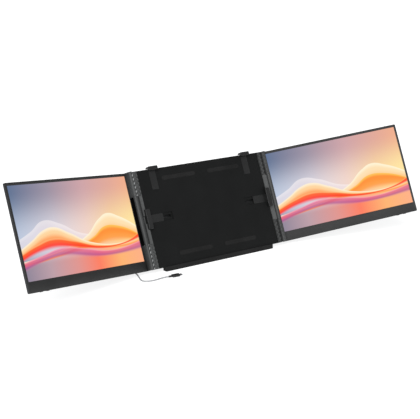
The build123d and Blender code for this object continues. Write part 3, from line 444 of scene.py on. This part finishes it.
def gap_shade_abs():
    """Dead matte black ABS strip beside the hinge barrel, near black as painted shade of the gap
    there.
    """
    return grained("dead matte abs strip in painted shade", "#030303", "#070707", 0.4, 0.02, (0.7, 0.85),
                   {"IOR": 1.45, "Specular IOR Level": 0.1})


def plate_alloy():
    """Magnesium alloy plate with baked black matte paint, evenly speckled."""
    return grained("matte black magnesium plate", "#090a0a", "#0f1010", 0.7, 0.03,
                   (0.6, 0.72), {"IOR": 1.5, "Specular IOR Level": 0.2})


def toned(material, tone):
    """The material, with its colour fading to black where the tone falls from 1 to 0."""
    tree = material.node_tree
    colour = tree.nodes["Principled BSDF"].inputs["Base Color"]
    full = colour.links[0].from_socket
    mix = add(tree, "ShaderNodeMix", {0: tone, 6: paint("#000000"), 7: full}, data_type="RGBA")
    tree.links.new(mix.outputs[2], colour)
    return material


def hinge_alloy(name="gunmetal lacquered zinc hinge"):
    """Die-cast zinc with gunmetal lacquer: a mid-grey satin with a fine orange peel."""
    return grained(name, "#494a4a", "#585959", 0.6, 0.02, (0.5, 0.6), {"Metallic": 0.1})


def shaded_corner_alloy():
    """The hinge's lacquer on the left rail, with painted shade darkening its front beside the
    barrel.
    """
    material = hinge_alloy("gunmetal lacquer with painted corner shade")
    tree = material.node_tree
    start, end, least = RAIL_CORNER_SHADE
    place = add(tree, "ShaderNodeTexCoord")
    x = add(tree, "ShaderNodeSeparateXYZ", {"Vector": place.outputs["Object"]}).outputs["X"]
    facing = add(tree, "ShaderNodeSeparateXYZ", {"Vector": place.outputs["Normal"]}).outputs["Y"]
    # Painted shade: the tone falls towards the barrel, only on faces that look to the front.
    corner_shade = add(tree, "ShaderNodeMapRange", {
        "Value": x, "From Min": -end * MM, "From Max": -start * MM, "To Min": least}).outputs[0]
    tone = add(tree, "ShaderNodeMapRange", {
        "Value": facing, "From Min": FRONT_FACING[0], "From Max": FRONT_FACING[1],
        "To Min": corner_shade}).outputs[0]
    return toned(material, tone)


def barrel_alloy():
    """The same lacquer on the turned barrel between the knuckles, a shade darker."""
    return grained("dark gunmetal lacquered zinc barrel", "#2f3030", "#3b3c3c", 0.6, 0.02,
                   (0.5, 0.6), {"Metallic": 0.1})


def lit_and_shaded_alloy():
    """The hinge's lacquer on knuckles and trims, with light and shade painted in.  Its tone is the
    piece's own map: a painted highlight or painted shade on lozenges, painted shade in hollows and
    down the side that meets the screen."""
    material = grained("lacquered zinc with painted light and shade", "#9fa1a1", "#b8baba", 0.6, 0.02,
                       (0.46, 0.56), {"Metallic": 0.2, "Specular IOR Level": 0.3})
    own_map = add(material.node_tree, "ShaderNodeUVMap", uv_map="panel").outputs["UV"]
    tone = add(material.node_tree, "ShaderNodeSeparateXYZ", {"Vector": own_map}).outputs["X"]
    return toned(material, tone)


def shell_aluminium():
    """Bead-blasted aluminium back, anodised dark grey: soft metallic glow, very fine grit."""
    return grained("bead-blasted anodised aluminium", "#434446", "#4a4b4d", 0.3, 0.012,
                   (0.38, 0.46), {"Metallic": 1.0}, cloud=90.0)


def stand_aluminium():
    """Aluminium kickstand, anodised like the shell but finer and a shade lighter."""
    return grained("anodised aluminium kickstand", "#4b4c4e", "#525355", 0.3, 0.012,
                   (0.32, 0.42), {"Metallic": 1.0}, cloud=70.0)


def foot_rubber():
    """Moulded silicone rubber: soft black without shine, faintly dusty."""
    return grained("moulded silicone rubber", "#101010", "#1d1d1d", 0.8, 0.04, (0.78, 0.92),
                   {"IOR": 1.41, "Specular IOR Level": 0.35})


def bright_steel():
    """Ground steel of pins, leaves and sockets: light grey with a satin shine."""
    return grained("ground stainless steel", "#8d8e90", "#a6a7a9", 0.25, 0.008, (0.2, 0.32),
                   {"Metallic": 1.0})


def black_steel():
    """Black-oxide machine screws: very dark metal with a slight oily shine."""
    return grained("black oxide steel screw", "#17181a", "#26272a", 0.2, 0.008, (0.28, 0.4),
                   {"Metallic": 1.0})


def board_mask():
    """Circuit board under green solder mask, with traces showing as lighter runs."""
    return grained("solder masked circuit board", "#0b3a22", "#17583a", 1.2, 0.02, (0.25, 0.35),
                   {"IOR": 1.55})


def tray_steel():
    """Tin-plated tray behind the glass."""
    return grained("tin-plated backlight tray", "#9a9b9c", "#b4b5b6", 2.0, 0.01, (0.3, 0.45),
                   {"Metallic": 1.0})


def button_abs():
    """Polished black ABS keys in the screens' lower edge."""
    return grained("polished abs button", "#0b0b0b", "#141414", 0.3, 0.005, (0.18, 0.26),
                   {"IOR": 1.5})


def cable_jacket():
    """Thermoplastic jacket, mid grey and slightly waxy."""
    return grained("waxy thermoplastic cable jacket", "#97989a", "#a9aaac", 0.5, 0.02,
                   (0.42, 0.55), {"IOR": 1.5})


def plug_overmould():
    """Soft black overmould of the plugs and their strain reliefs."""
    return grained("soft plug overmould", "#131313", "#202020", 0.5, 0.03, (0.5, 0.62),
                   {"IOR": 1.48})


# ------------------------------------------------------------------ the lit display

# Silk bands of the picture: upper curve and lower curve as (across, up) shares of the display,
# tones from the lower to the upper one, and how much of what lies behind each band covers.
VEIL = (
    ((0.0, 0.43), (0.1, 0.5), (0.22, 0.6), (0.34, 0.55), (0.5, 0.42), (0.75, 0.37), (1.0, 0.36)),
    ((0.0, 0.28), (0.3, 0.34), (0.6, 0.3), (1.0, 0.3)),
    ((0.0, "#e6dde6"), (0.7, "#eee3e9"), (1.0, "#fbf3f4")), 0.55)
FAR_DUNE = (
    ((0.0, 0.2), (0.4, 0.3), (0.55, 0.39), (0.68, 0.55), (0.76, 0.6), (0.86, 0.55), (1.0, 0.42)),
    ((0.0, 0.18), (0.4, 0.25), (0.7, 0.26), (1.0, 0.28)),
    ((0.0, "#ffb45c"), (0.45, "#ffc787"), (0.8, "#ffe2b4"), (1.0, "#fff6d8")), 0.9)
INNER_DUNE = (
    ((0.0, 0.18), (0.45, 0.28), (0.6, 0.36), (0.72, 0.46), (0.82, 0.45), (1.0, 0.33)),
    ((0.0, 0.14), (0.45, 0.22), (0.75, 0.24), (1.0, 0.24)),
    ((0.0, "#ffb968"), (0.4, "#ff9a2e"), (0.8, "#ff8a1c"), (1.0, "#ffc04a")), 0.9)
NEAR_DUNE = (
    ((0.0, 0.33), (0.1, 0.41), (0.2, 0.5), (0.28, 0.52), (0.4, 0.44), (0.56, 0.31), (0.8, 0.25),
     (1.0, 0.3)),
    ((0.0, 0.22), (0.25, 0.33), (0.5, 0.24), (1.0, 0.2)),
    ((0.0, "#ff6a2a"), (0.35, "#ff9c4a"), (0.75, "#ffd59a"), (1.0, "#fff0d0")), 0.95)
RED_BAND = (
    ((0.0, 0.28), (0.14, 0.36), (0.26, 0.4), (0.42, 0.35), (0.62, 0.26), (0.85, 0.25), (1.0, 0.33)),
    ((0.0, 0.2), (0.2, 0.28), (0.45, 0.26), (0.7, 0.22), (1.0, 0.27)),
    ((0.0, "#e8365a"), (0.4, "#ff3418"), (0.8, "#ff5c22"), (1.0, "#ffb070")), 0.95)
ROSE_BAND = (
    ((0.0, 0.19), (0.15, 0.24), (0.32, 0.29), (0.5, 0.25), (0.7, 0.19), (1.0, 0.24)),
    ((0.0, 0.1), (0.3, 0.19), (0.6, 0.13), (1.0, 0.14)),
    ((0.0, "#d98aa0"), (0.35, "#b24c93"), (0.8, "#e0588c"), (1.0, "#f79ab0")), 0.8)
BANDS = (VEIL, FAR_DUNE, INNER_DUNE, NEAR_DUNE, RED_BAND, ROSE_BAND)
BAND_EDGE = 0.006               # softness of a band's upper edge, share of the display's height
BAND_FADE = (-0.05, 0.45)       # a band fades in over these shares of its own height
# Tones of the sky across the display, and the heights between which one row gives way to another.
TOP_TONES = ((0.0, "#5f7292"), (0.3, "#9a90a2"), (0.6, "#cea4a8"), (0.85, "#e2a998"),
             (1.0, "#f0af8e"))
MID_TONES = ((0.0, "#bcc8dd"), (0.3, "#dcd8e2"), (0.55, "#f1d6cb"), (0.8, "#fddca4"),
             (1.0, "#ffe8a4"))
LOW_TONES = ((0.0, "#76829c"), (0.2, "#b29fad"), (0.42, "#dd9592"), (0.6, "#ff7a5c"),
             (0.8, "#ffb870"), (1.0, "#ffb488"))
MID_TO_TOP = (0.42, 0.95)
LOW_TO_MID = (0.14, 0.3)


def lit_display():
    """Liquid crystal display under a matte anti-glare film, lit by a picture of silk bands.

    The sky is three rows of tones blended upwards; each band lies between two curves across the
    display, takes its tones from its lower curve to its upper one and is faded in above the
    lower one."""
    material, tree, shader = finish("lit display under anti-glare film", {
        "Base Color": paint("#050505"), "Roughness": 0.42, "IOR": 1.45,
        "Specular IOR Level": 0.2, "Emission Strength": 1.0})
    place = add(tree, "ShaderNodeUVMap", uv_map="panel").outputs["UV"]
    split = add(tree, "ShaderNodeSeparateXYZ", {"Vector": place})
    across, up = split.outputs["X"], split.outputs["Y"]
    top, mid, low = [add(tree, "ShaderNodeValToRGB", {"Fac": across}, stops=tones).outputs["Color"]
                     for tones in (TOP_TONES, MID_TONES, LOW_TONES)]
    to_top, to_mid = [
        add(tree, "ShaderNodeMapRange", {"Value": up, "From Min": start, "From Max": end},
            interpolation_type="SMOOTHSTEP").outputs[0]
        for start, end in (MID_TO_TOP, LOW_TO_MID)]
    sky = add(tree, "ShaderNodeMix", {0: to_top, 6: mid, 7: top}, data_type="RGBA").outputs[2]
    picture = add(tree, "ShaderNodeMix", {0: to_mid, 6: low, 7: sky}, data_type="RGBA").outputs[2]
    for upper, lower, tones, cover in BANDS:
        crest = add(tree, "ShaderNodeFloatCurve", {"Value": across}, points=upper).outputs[0]
        root = add(tree, "ShaderNodeFloatCurve", {"Value": across}, points=lower).outputs[0]
        share = add(tree, "ShaderNodeMapRange", {
            "Value": up, "From Min": root, "From Max": crest}).outputs[0]
        tone = add(tree, "ShaderNodeValToRGB", {"Fac": share}, stops=tones)
        tone.color_ramp.interpolation = "EASE"
        lip = add(tree, "ShaderNodeMath", {0: crest, 1: BAND_EDGE}, operation="ADD").outputs[0]
        under = add(tree, "ShaderNodeMapRange", {
            "Value": up, "From Min": lip, "From Max": crest, "To Max": cover},
            interpolation_type="SMOOTHSTEP").outputs[0]
        above = add(tree, "ShaderNodeMapRange", {
            "Value": share, "From Min": BAND_FADE[0], "From Max": BAND_FADE[1]},
            interpolation_type="SMOOTHSTEP").outputs[0]
        mask = add(tree, "ShaderNodeMath", {0: under, 1: above}, operation="MULTIPLY").outputs[0]
        picture = add(tree, "ShaderNodeMix", {0: mask, 6: picture, 7: tone.outputs[0]},
                      data_type="RGBA").outputs[2]
    tree.links.new(picture, shader.inputs["Emission Color"])
    return material


# ------------------------------------------------------------------ cable and plugs

def new_cable(material):
    """The cable: one smooth line between the strain reliefs, with the desk under most of it."""
    end = PLUG_TIP[2] + PLUG_BODY[2] + RELIEF_L
    route = [in_plug((end, 0, 0), "frame"), *(np.array(CORD_POINTS) * MM),
             in_plug((end, 0, 0), "laptop")]
    line = bpy.data.curves.new("cable_line", "CURVE")
    line.dimensions = "3D"
    line.bevel_depth = CORD_D / 2 * MM
    line.bevel_resolution = 5
    line.use_fill_caps = True
    spline = line.splines.new("NURBS")
    spline.points.add(len(route) - 1)
    spline.points.foreach_set("co", np.column_stack([route, np.ones(len(route))]).ravel())
    spline.order_u = 3
    spline.use_endpoint_u = True
    spline.resolution_u = 10
    line.materials.append(material)
    cable = bpy.data.objects.new("cable_line", line)
    bpy.context.scene.collection.objects.link(cable)
    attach(cable, "frame")
    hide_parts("cable")
    return cable, route[0].tolist()


def plug_tip_points():
    """Drawn steel tip: outside, rolled lip, and the inside back to its floor."""
    wide, thick, length = PLUG_TIP
    wall, (lip, cut) = PLUG_TIP_WALL, PLUG_TIP_LIP
    stations = [(length, 0), (lip, 0), (cut, cut), (0, wall / 2), (cut, wall - cut), (lip, wall),
                (length - wall, wall)]
    return loft(stations, wide / 2, thick / 2, thick / 2 - TIP_FLAT)


def plug_body_points():
    """Overmould: flat front, grip grooves across the middle, rounded rear edge."""
    wide, thick, length = PLUG_BODY
    start, edge = PLUG_TIP[2], PLUG_FRONT_EDGE
    count, pitch, first, deep = GRIP
    mouth, floor = GRIP_SECTION
    grip = [(start + first + pitch * index + step, depth) for index in range(count)
            for step, depth in ((-mouth, 0), (-floor, deep), (floor, deep), (mouth, 0))]
    round_end = [(start + length - PLUG_EDGE * (1 - sin(turn)), PLUG_EDGE * (1 - cos(turn)))
                 for turn in np.radians((0, 22, 45, 68, 90))]
    stations = [(start, edge), (start + edge / 3, edge / 3), (start + edge, 0), *grip, *round_end]
    return loft(stations, wide / 2, thick / 2, thick / 2 - BODY_FLAT)


def relief_points():
    """Sleeve that tapers to the cable, with rings cut into it."""
    start = PLUG_TIP[2] + PLUG_BODY[2]
    count, pitch, first, deep = RING
    mouth, floor = RING_SECTION
    rings = [first + pitch * ring + step for ring in range(count)
             for step in (-mouth, -floor, floor, mouth)]
    place = start + np.array([0, *rings, RELIEF_L - RELIEF_EDGE[0], RELIEF_L])
    taper = np.interp(place - start, (0, RELIEF_L), RELIEF_R)
    cut = np.array([0, *([0, deep, deep, 0] * count), 0, RELIEF_EDGE[1]])
    return turned(list(zip(place, taper - cut)))


# ------------------------------------------------------------------ screens

def bezel_points(side):
    """Flat frame: the outer outline with its rounded edge is joined to the opening's outline,
    whose edge slopes down to the glass, and the back closes it."""
    drop = FACE_DROP[side]
    outer_radii = np.array([HINGE_CORNER_R, CORNER_R, CORNER_R, HINGE_CORNER_R])
    rows = []
    for inset, depth in ((0, BEZEL_T), (0, BEZEL_ROUND), (BEZEL_ROUND * 0.29, BEZEL_ROUND * 0.29),
                         (BEZEL_ROUND, 0)):
        loop = rounded_loop(SCREEN_X[0] + inset, SCREEN_X[1] - inset, inset, FRAME_H - inset,
                            outer_radii - inset)
        rows.append((loop, depth))
    for outset, depth in ((BEZEL_SLOPE, 0), (0, BEZEL_SLOPE_T), (0, BEZEL_T)):
        loop = rounded_loop(DISPLAY_X[0] - outset, DISPLAY_X[1] + outset, DISPLAY_Z[0] - outset,
                            DISPLAY_Z[1] + outset, OPENING_R + outset)
        rows.append((loop, depth))
    return np.array([np.column_stack([loop[:, 0], np.full(len(loop), drop + depth), loop[:, 1]])
                     for loop, depth in rows])


def panel_points(side):
    """Display glass, as far as it reaches behind the bezel: front, rim and back."""
    front = FACE_DROP[side] + BEZEL_T
    low_z, high_z = DISPLAY_Z[0] - GLASS_LAP, DISPLAY_Z[1] + GLASS_LAP
    near, far = DISPLAY_X[0] - GLASS_LAP, DISPLAY_X[1] + GLASS_LAP
    middle = ((near + far) / 2, (low_z + high_z) / 2)
    loop = rounded_loop(near, far, low_z, high_z, GLASS_CORNER_R, steps=2)
    rows = [(np.broadcast_to(middle, loop.shape), front), (loop, front), (loop, front + GLASS_T),
            (np.broadcast_to(middle, loop.shape), front + GLASS_T)]
    return np.array([np.column_stack([flat[:, 0], np.full(len(flat), depth), flat[:, 1]])
                     for flat, depth in rows])


def new_screen(side, finishes):
    """Bezel and lit panel of one screen."""
    points = bezel_points(side)
    piece(f"{side}_bezel_frame", [grid(in_wing(points, side), True, True)],
          finishes["bezel"], f"{side}_screen", [f"{side}_bezel"])
    points = panel_points(side)
    across = (points[..., 0] - DISPLAY_X[0]) / (DISPLAY_X[1] - DISPLAY_X[0])
    if side == "left":
        across = 1 - across
    up = (points[..., 2] - DISPLAY_Z[0]) / (DISPLAY_Z[1] - DISPLAY_Z[0])
    uv = np.stack([across, up], -1).reshape(-1, 2)
    panel = piece(f"{side}_lit_panel", [grid(in_wing(points, side), False, True)],
                  finishes["display"], f"{side}_screen", [f"{side}_lcd_glass"], uv=uv)
    panel.visible_diffuse = panel.visible_glossy = False    # its picture lights nothing else


# ------------------------------------------------------------------ hinges

def knuckle_plan(drop):
    """Outline of a knuckle seen from above, round its axis, with how near each place is to the
    screen, from 0 on the barrel to 1, and its turn round the barrel."""
    turns = np.radians(np.concatenate([np.arange(*span) for span in BARREL_TURNS]))
    barrel = BARREL_R * np.column_stack([np.cos(turns), np.sin(turns)])
    wall = np.linspace(0, drop, 10)[1:]
    front = np.column_stack([np.full(len(wall), BARREL_R), wall])
    inner, back = SCREEN_X[0], drop + SCREEN_T
    rear = np.linspace((inner - ARM_FOOT, back), barrel[0], 6)[:-1]
    plan = np.concatenate([barrel, front, [(inner, drop), (inner, back)], rear])
    near = np.concatenate([np.zeros(len(barrel)), wall / drop, np.ones(2), np.zeros(len(rear))])
    turns = np.pad(turns, (0, len(plan) - len(turns)), constant_values=pi)
    return plan, near, turns


def knuckle_points(side, low, high, bored_high):
    """Knuckle from its low to its high end: rounded free end, the pin's bore, a row of lozenges.

    At a height h inside the rounding r the outline is drawn in by r - sqrt(r^2 - (r - h)^2).
    At u round the barrel and v up from the middle of a lozenge, its bed is as deep as
    STUD_EDGE (1 - |u|/w - |v|/h), up to 1, and the lozenge rises so too, each with its own size."""
    plan, near, turns = knuckle_plan(FACE_DROP[side])
    reach = np.linalg.norm(plan, axis=1)
    free, way = (low, 1) if bored_high else (high, -1)
    mouth = high if bored_high else low
    over = KNUCKLE_EDGE * (1 - np.cos(np.linspace(0, pi / 2, 5)))
    inset = KNUCKLE_EDGE - np.sqrt(KNUCKLE_EDGE ** 2 - (KNUCKLE_EDGE - over) ** 2)
    body = np.linspace(free + way * KNUCKLE_EDGE, mouth, int((high - low) / KNUCKLE_STEP))[1:]
    floor = mouth - way * BORE_L
    heights = np.concatenate([[free], free + way * over, body, [mouth, floor, floor]])[:, None]
    shares = 1 - np.concatenate([[0], inset, np.zeros(len(body))])[:, None] / reach
    shares[0] = 0

    v = (heights - (low + high) / 2 - STUD_SHIFT[side]) / FACET_PITCH
    v = (v % 1 - 0.5) * FACET_PITCH
    u = BARREL_R * (turns - STUD_ANGLE[side]) - SIDES[side] * STUD[3] * v
    bed = np.clip(1 - np.abs(u) / STUD_BED[0] - np.abs(v) / STUD_BED[1], 0, 1)
    stud = np.clip(1 - np.abs(u) / STUD[0] - np.abs(v) / STUD[1], 0, 1)
    bed, stud = np.clip(STUD_EDGE * bed, 0, 1), np.clip(STUD_EDGE * stud, 0, 1)
    relief = (STUD[2] + STUD_BED[2]) * stud - STUD_BED[2] * bed
    clear = np.clip(np.minimum(heights - low, high - heights) / STUD_FADE, 0, 1)
    shares = shares * (1 + (relief * clear)[:len(shares)] / reach)
    walls = plan * shares[..., None]
    ring = plan / reach[:, None]
    outline = np.concatenate([walls, [ring * BORE_R, ring * BORE_R, ring * 0]])
    levels = np.broadcast_to(heights[..., None], (*outline.shape[:2], 1))
    points = np.concatenate([outline, levels], -1)

    # Painted shade: down the wall that meets the screen the tone fades to near black, more at the
    # bottom.
    height = points[..., 2] / FRAME_H
    wall = WALL_SHADES[0] + (WALL_SHADES[1] - WALL_SHADES[0]) * height
    # Painted shade in the hollows round the lozenges; the lozenges a painted highlight on the left,
    # painted shade on the right.
    bed_shade, stud_lit_tone = STUD_SHADE_AND_HIGHLIGHT[side]
    tone = BARREL_TONE + (bed_shade - BARREL_TONE) * bed
    tone = tone + (stud_lit_tone - tone) * stud
    tone = tone + (wall - tone) * near
    return points, np.stack([tone, height], -1)


def bar_points(x0, x1, y0, y1, low, high):
    """Closed upright bar, its ends drawn in to a point."""
    ring = np.array([(x0, y0), (x1, y0), (x1, y1), (x0, y1)])
    middle = np.broadcast_to(ring.mean(axis=0), ring.shape)
    return np.array([np.column_stack([flat, np.full(len(ring), z)])
                     for flat, z in ((middle, low), (ring, low), (ring, high), (middle, high))])


def new_knuckles(side, material):
    """Both knuckles of a screen.  A skirt in the wall's painted shade hangs from the upper one over
    the end of the strip.
    """
    for name, low, high in (("lower", 0.0, BARREL_Z[0] - JOINT_GAP),
                            ("upper", BARREL_Z[1] + JOINT_GAP, FRAME_H)):
        points, own_map = knuckle_points(side, low, high, name == "lower")
        grids, maps = [grid(in_wing(points, side), False, True)], [own_map.reshape(-1, 2)]
        if name == "upper":
            inner, nearest, height = SKIRT
            skirt = bar_points(inner, BARREL_R, nearest, FACE_DROP[side], low - height, low)
            grids.append(grid(in_wing(skirt, side), False, True))
            # the skirt takes the painted shade of the wall's top
            maps.append(np.full((skirt.size // 3, 2), WALL_SHADES[1]))
        piece(f"{side}_{name}_lacquered_knuckle", grids, material, f"{side}_screen",
              [f"{side}_{name}_knuckle"], uv=np.concatenate(maps))


def trim_points(side, low, high):
    """Trim of the rail: pyramids in a net of V grooves, and a bevel set with lozenges.

    The grooves' depth at a place is FACET_DEPTH (1 - d) with d the distance to the nearest of two
    crossing sets of lines, 1 halfway between them.  A lozenge rises as
    GEM_EDGE (1 - |u|/w - |v|/h), up to 1.  The second array holds each place's tone, with its
    painted light and shade, and its height."""
    x0, x2 = RAIL_X[0] + TRIM_INSET, RAIL_X[1] - TRIM_INSET
    x1 = x2 - BEVEL_W
    x = np.concatenate([np.linspace(x0, x1, TRIM_COLUMNS[0]),
                        np.linspace(x1, x2, TRIM_COLUMNS[1])[1:]])
    z = np.linspace(low, high, int(round((high - low) / TRIM_STEP)) + 1)
    x, z = np.meshgrid(x, z)
    middle = (low + high) / 2
    width = (x1 - x0) / 2
    rows = (z - middle) / FACET_PITCH
    lines = [rows + way * (x - x0 - width) / width / 2 for way in (-1, 1)]
    near = np.min([np.abs((line + 0.5) % 1 - 0.5) * 2 for line in lines], axis=0)
    facets = TRIM_FRONT + FACET_DEPTH * (1 - near)
    u = np.abs(x - x1 - GEM_AT) / GEM[0]
    v = np.abs((rows - GEM_SHIFT[side] / FACET_PITCH + 0.5) % 1 - 0.5) * FACET_PITCH / GEM[1]
    gem = np.clip(1 - u - v, 0, 1)
    bevel = TRIM_FRONT + BEVEL_DROP * (x - x1) / BEVEL_W - GEM_RISE * np.clip(GEM_EDGE * gem, 0, 1)
    depth = np.minimum(np.where(x > x1, bevel, facets), TRIM_BACK - TRIM_LEAST_T)
    # Painted light and shade: facets, bevel and lozenges lighter on the left side, darker on the
    # right.
    facet_lit_tone, bevel_lit_tone, gem_lit_tone = TRIM_LIGHT_AND_SHADE[side]
    tone = np.where(x > x1, np.where(gem > 0, gem_lit_tone, bevel_lit_tone), facet_lit_tone)
    front = np.stack([x, depth, z], -1)
    rim = front.copy()
    rim[..., 1] = TRIM_BACK
    points = np.concatenate([rim[:1], front, rim[-1:]])
    points = np.concatenate([points[:, :1], points, points[:, -1:]], 1)
    points[:, 0, 1] = points[:, -1, 1] = TRIM_BACK
    points[..., 0] *= SIDES[side]
    return points, np.stack([np.pad(tone, 1, mode="edge"), points[..., 2] / FRAME_H], -1)


def new_trims(side, material):
    """The two trims of a rail with their lips, as one piece."""
    sign, (near, far, thick, lap) = SIDES[side], TRIM_LIP
    grids, maps = [], []
    bottom, top = TRIM_INSET, FRAME_H - TRIM_INSET
    for low, high, lip_low, lip_high in (
            (bottom, BARREL_Z[0] - TRIM_INSET, bottom, BARREL_Z[0] + lap),
            (BARREL_Z[1] + TRIM_INSET, top, BARREL_Z[1] - lap, top)):
        points, own_map = trim_points(side, low, high)
        back = points[np.ix_([0, -1], [0, -1])]
        lip = bar_points(sign * near, sign * far, TRIM_BACK, TRIM_BACK + thick, lip_low, lip_high)
        grids += [grid(in_frame(points)), grid(in_frame(back)), grid(in_frame(lip), False, True)]
        # the lips take the right bevel's painted shade
        maps += [own_map.reshape(-1, 2), own_map[:2, :2].reshape(-1, 2),
                 np.full((lip.size // 3, 2), TRIM_LIGHT_AND_SHADE["right"][1])]
    piece(f"{side}_faceted_trims", grids, material, "frame",
          [f"{side}_rail_trims"], crease=12.0, uv=np.concatenate(maps))


# ------------------------------------------------------------------ centre frame

def pad_points(middle_x, middle_z):
    """Rubber strip with round ends: depth falls off at the rim, and ribs run across it.

    The half height at a place along the strip is that of a bar with half-round ends."""
    half_w, half_h = PAD_W / 2, PAD_H / 2
    ends = half_w - half_h * (1 - np.sin(np.linspace(pi / 12, pi / 2, 6)))
    straight = half_w - half_h
    along = np.concatenate([-ends[::-1], np.arange(-straight, straight, PAD_RIB / 6)[1:], ends])
    along = np.unique(np.round(np.clip(along, -half_w, half_w), 4))
    over = np.clip(np.abs(along) - straight, 0, half_h)
    half = np.sqrt(np.maximum(half_h ** 2 - over ** 2, 0))
    share = np.concatenate([[-1, -1], np.linspace(-0.96, 0.96, 9), [1, 1]])
    rib = PAD_RIB_DEPTH * (0.5 - 0.5 * np.cos(2 * pi * along / PAD_RIB))
    edge = np.clip((half_w - np.abs(along)) / PAD_RIB_END[0], 0, 1)
    rise = np.outer(rib * edge, np.clip((1 - np.abs(share)) / PAD_RIB_END[1], 0, 1))
    lip = np.concatenate([[0], np.full(len(share) - 2, 1.0), [0]])
    depth = PAD_FRONT + PAD_T * (1 - lip)[None, :] + rise * lip
    x = middle_x + along[:, None] + 0 * share
    z = middle_z + half[:, None] * share
    return np.stack([x, depth, z], -1)


def new_lid_pads(material):
    """The four pads behind the laptop's lid, as one piece."""
    grids = [grid(in_frame(pad_points(x, z)), False, True)
             for x in (-PAD_X, PAD_X) for z in (PAD_FROM_EDGE, FRAME_H - PAD_FROM_EDGE)]
    piece("ribbed_lid_pads", grids, material, "frame", ["lid_pads"], crease=50.0)


# ------------------------------------------------------------------ the whole part

def dress(finishes):
    """Finishes of the CAD nodes that show as they are."""
    by_finish = {
        "cover": ["back_cover"],
        "plate": ["front_plate"],
        "stand": ["kickstand"],
        "rubber": ["desk_foot", "kickstand_foot", "*_clip_pad", "*_hook_pad"],
        "steel": ["kickstand_pin", "usb_c_sockets", "*_hinge_pins", "*_hinge_leaves"],
        "screw": ["cover_screws", "*_shell_screws"],
        "board": ["control_board", "*_driver_board"],
        "hinge": ["right_rail"],
        # the left rail's lacquer, with painted shade beside its barrel
        "corner": ["left_rail"],
        "barrel": ["*_middle_barrel"],
        # near black, as painted shade of the gap beside the barrel
        "gap": ["*_gap_cover"],
        "shell": ["*_back_shell"],
        "tray": ["*_backlight"],
        "holder": ["*_side_clip", "*_clip_retainer", "*_top_hook", "*_hook_retainer"],
        "button": ["*_power_button", "*_menu_button"],
    }
    for key, patterns in by_finish.items():
        for pattern in patterns:
            names = [pattern.replace("*", side) for side in SIDES] if "*" in pattern else [pattern]
            for name in names:
                for place in frame["nodes"][name].material_slots:
                    place.material = finishes[key]


def main():
    """Camera, cable with its plugs, other pieces, finishes of the solids, and the studio."""
    new_camera()
    finishes = {
        "bezel": matte_bezel_abs(), "display": lit_display(), "cover": cover_abs(),
        "plate": plate_alloy(), "stand": stand_aluminium(), "rubber": foot_rubber(),
        "steel": bright_steel(), "screw": black_steel(), "board": board_mask(),
        "hinge": hinge_alloy(), "corner": shaded_corner_alloy(), "barrel": barrel_alloy(),
        "cut": lit_and_shaded_alloy(), "gap": gap_shade_abs(), "shell": shell_aluminium(), "tray": tray_steel(),
        "holder": holder_nylon(), "button": button_abs(),
        "jacket": cable_jacket(), "overmould": plug_overmould(),
    }
    cable, exit_point = new_cable(finishes["jacket"])
    for which in ("frame", "laptop"):
        for name, points, finish_key, node in (
                ("plug_tip", plug_tip_points(), "steel", "plug"),
                ("plug_body", plug_body_points(), "overmould", "plug"),
                ("relief_sleeve", relief_points(), "overmould", "plug_relief")):
            piece(f"{which}_{name}", [grid(in_plug(points, which), False, True)],
                              finishes[finish_key], "frame", [f"{which}_{node}"])
    for side in SIDES:
        new_screen(side, finishes)
        # knuckles and trims: the lacquer with painted highlights and painted shade
        new_knuckles(side, finishes["cut"])
        new_trims(side, finishes["cut"])
    new_lid_pads(finishes["rubber"])
    dress(finishes)
    new_studio()


main()
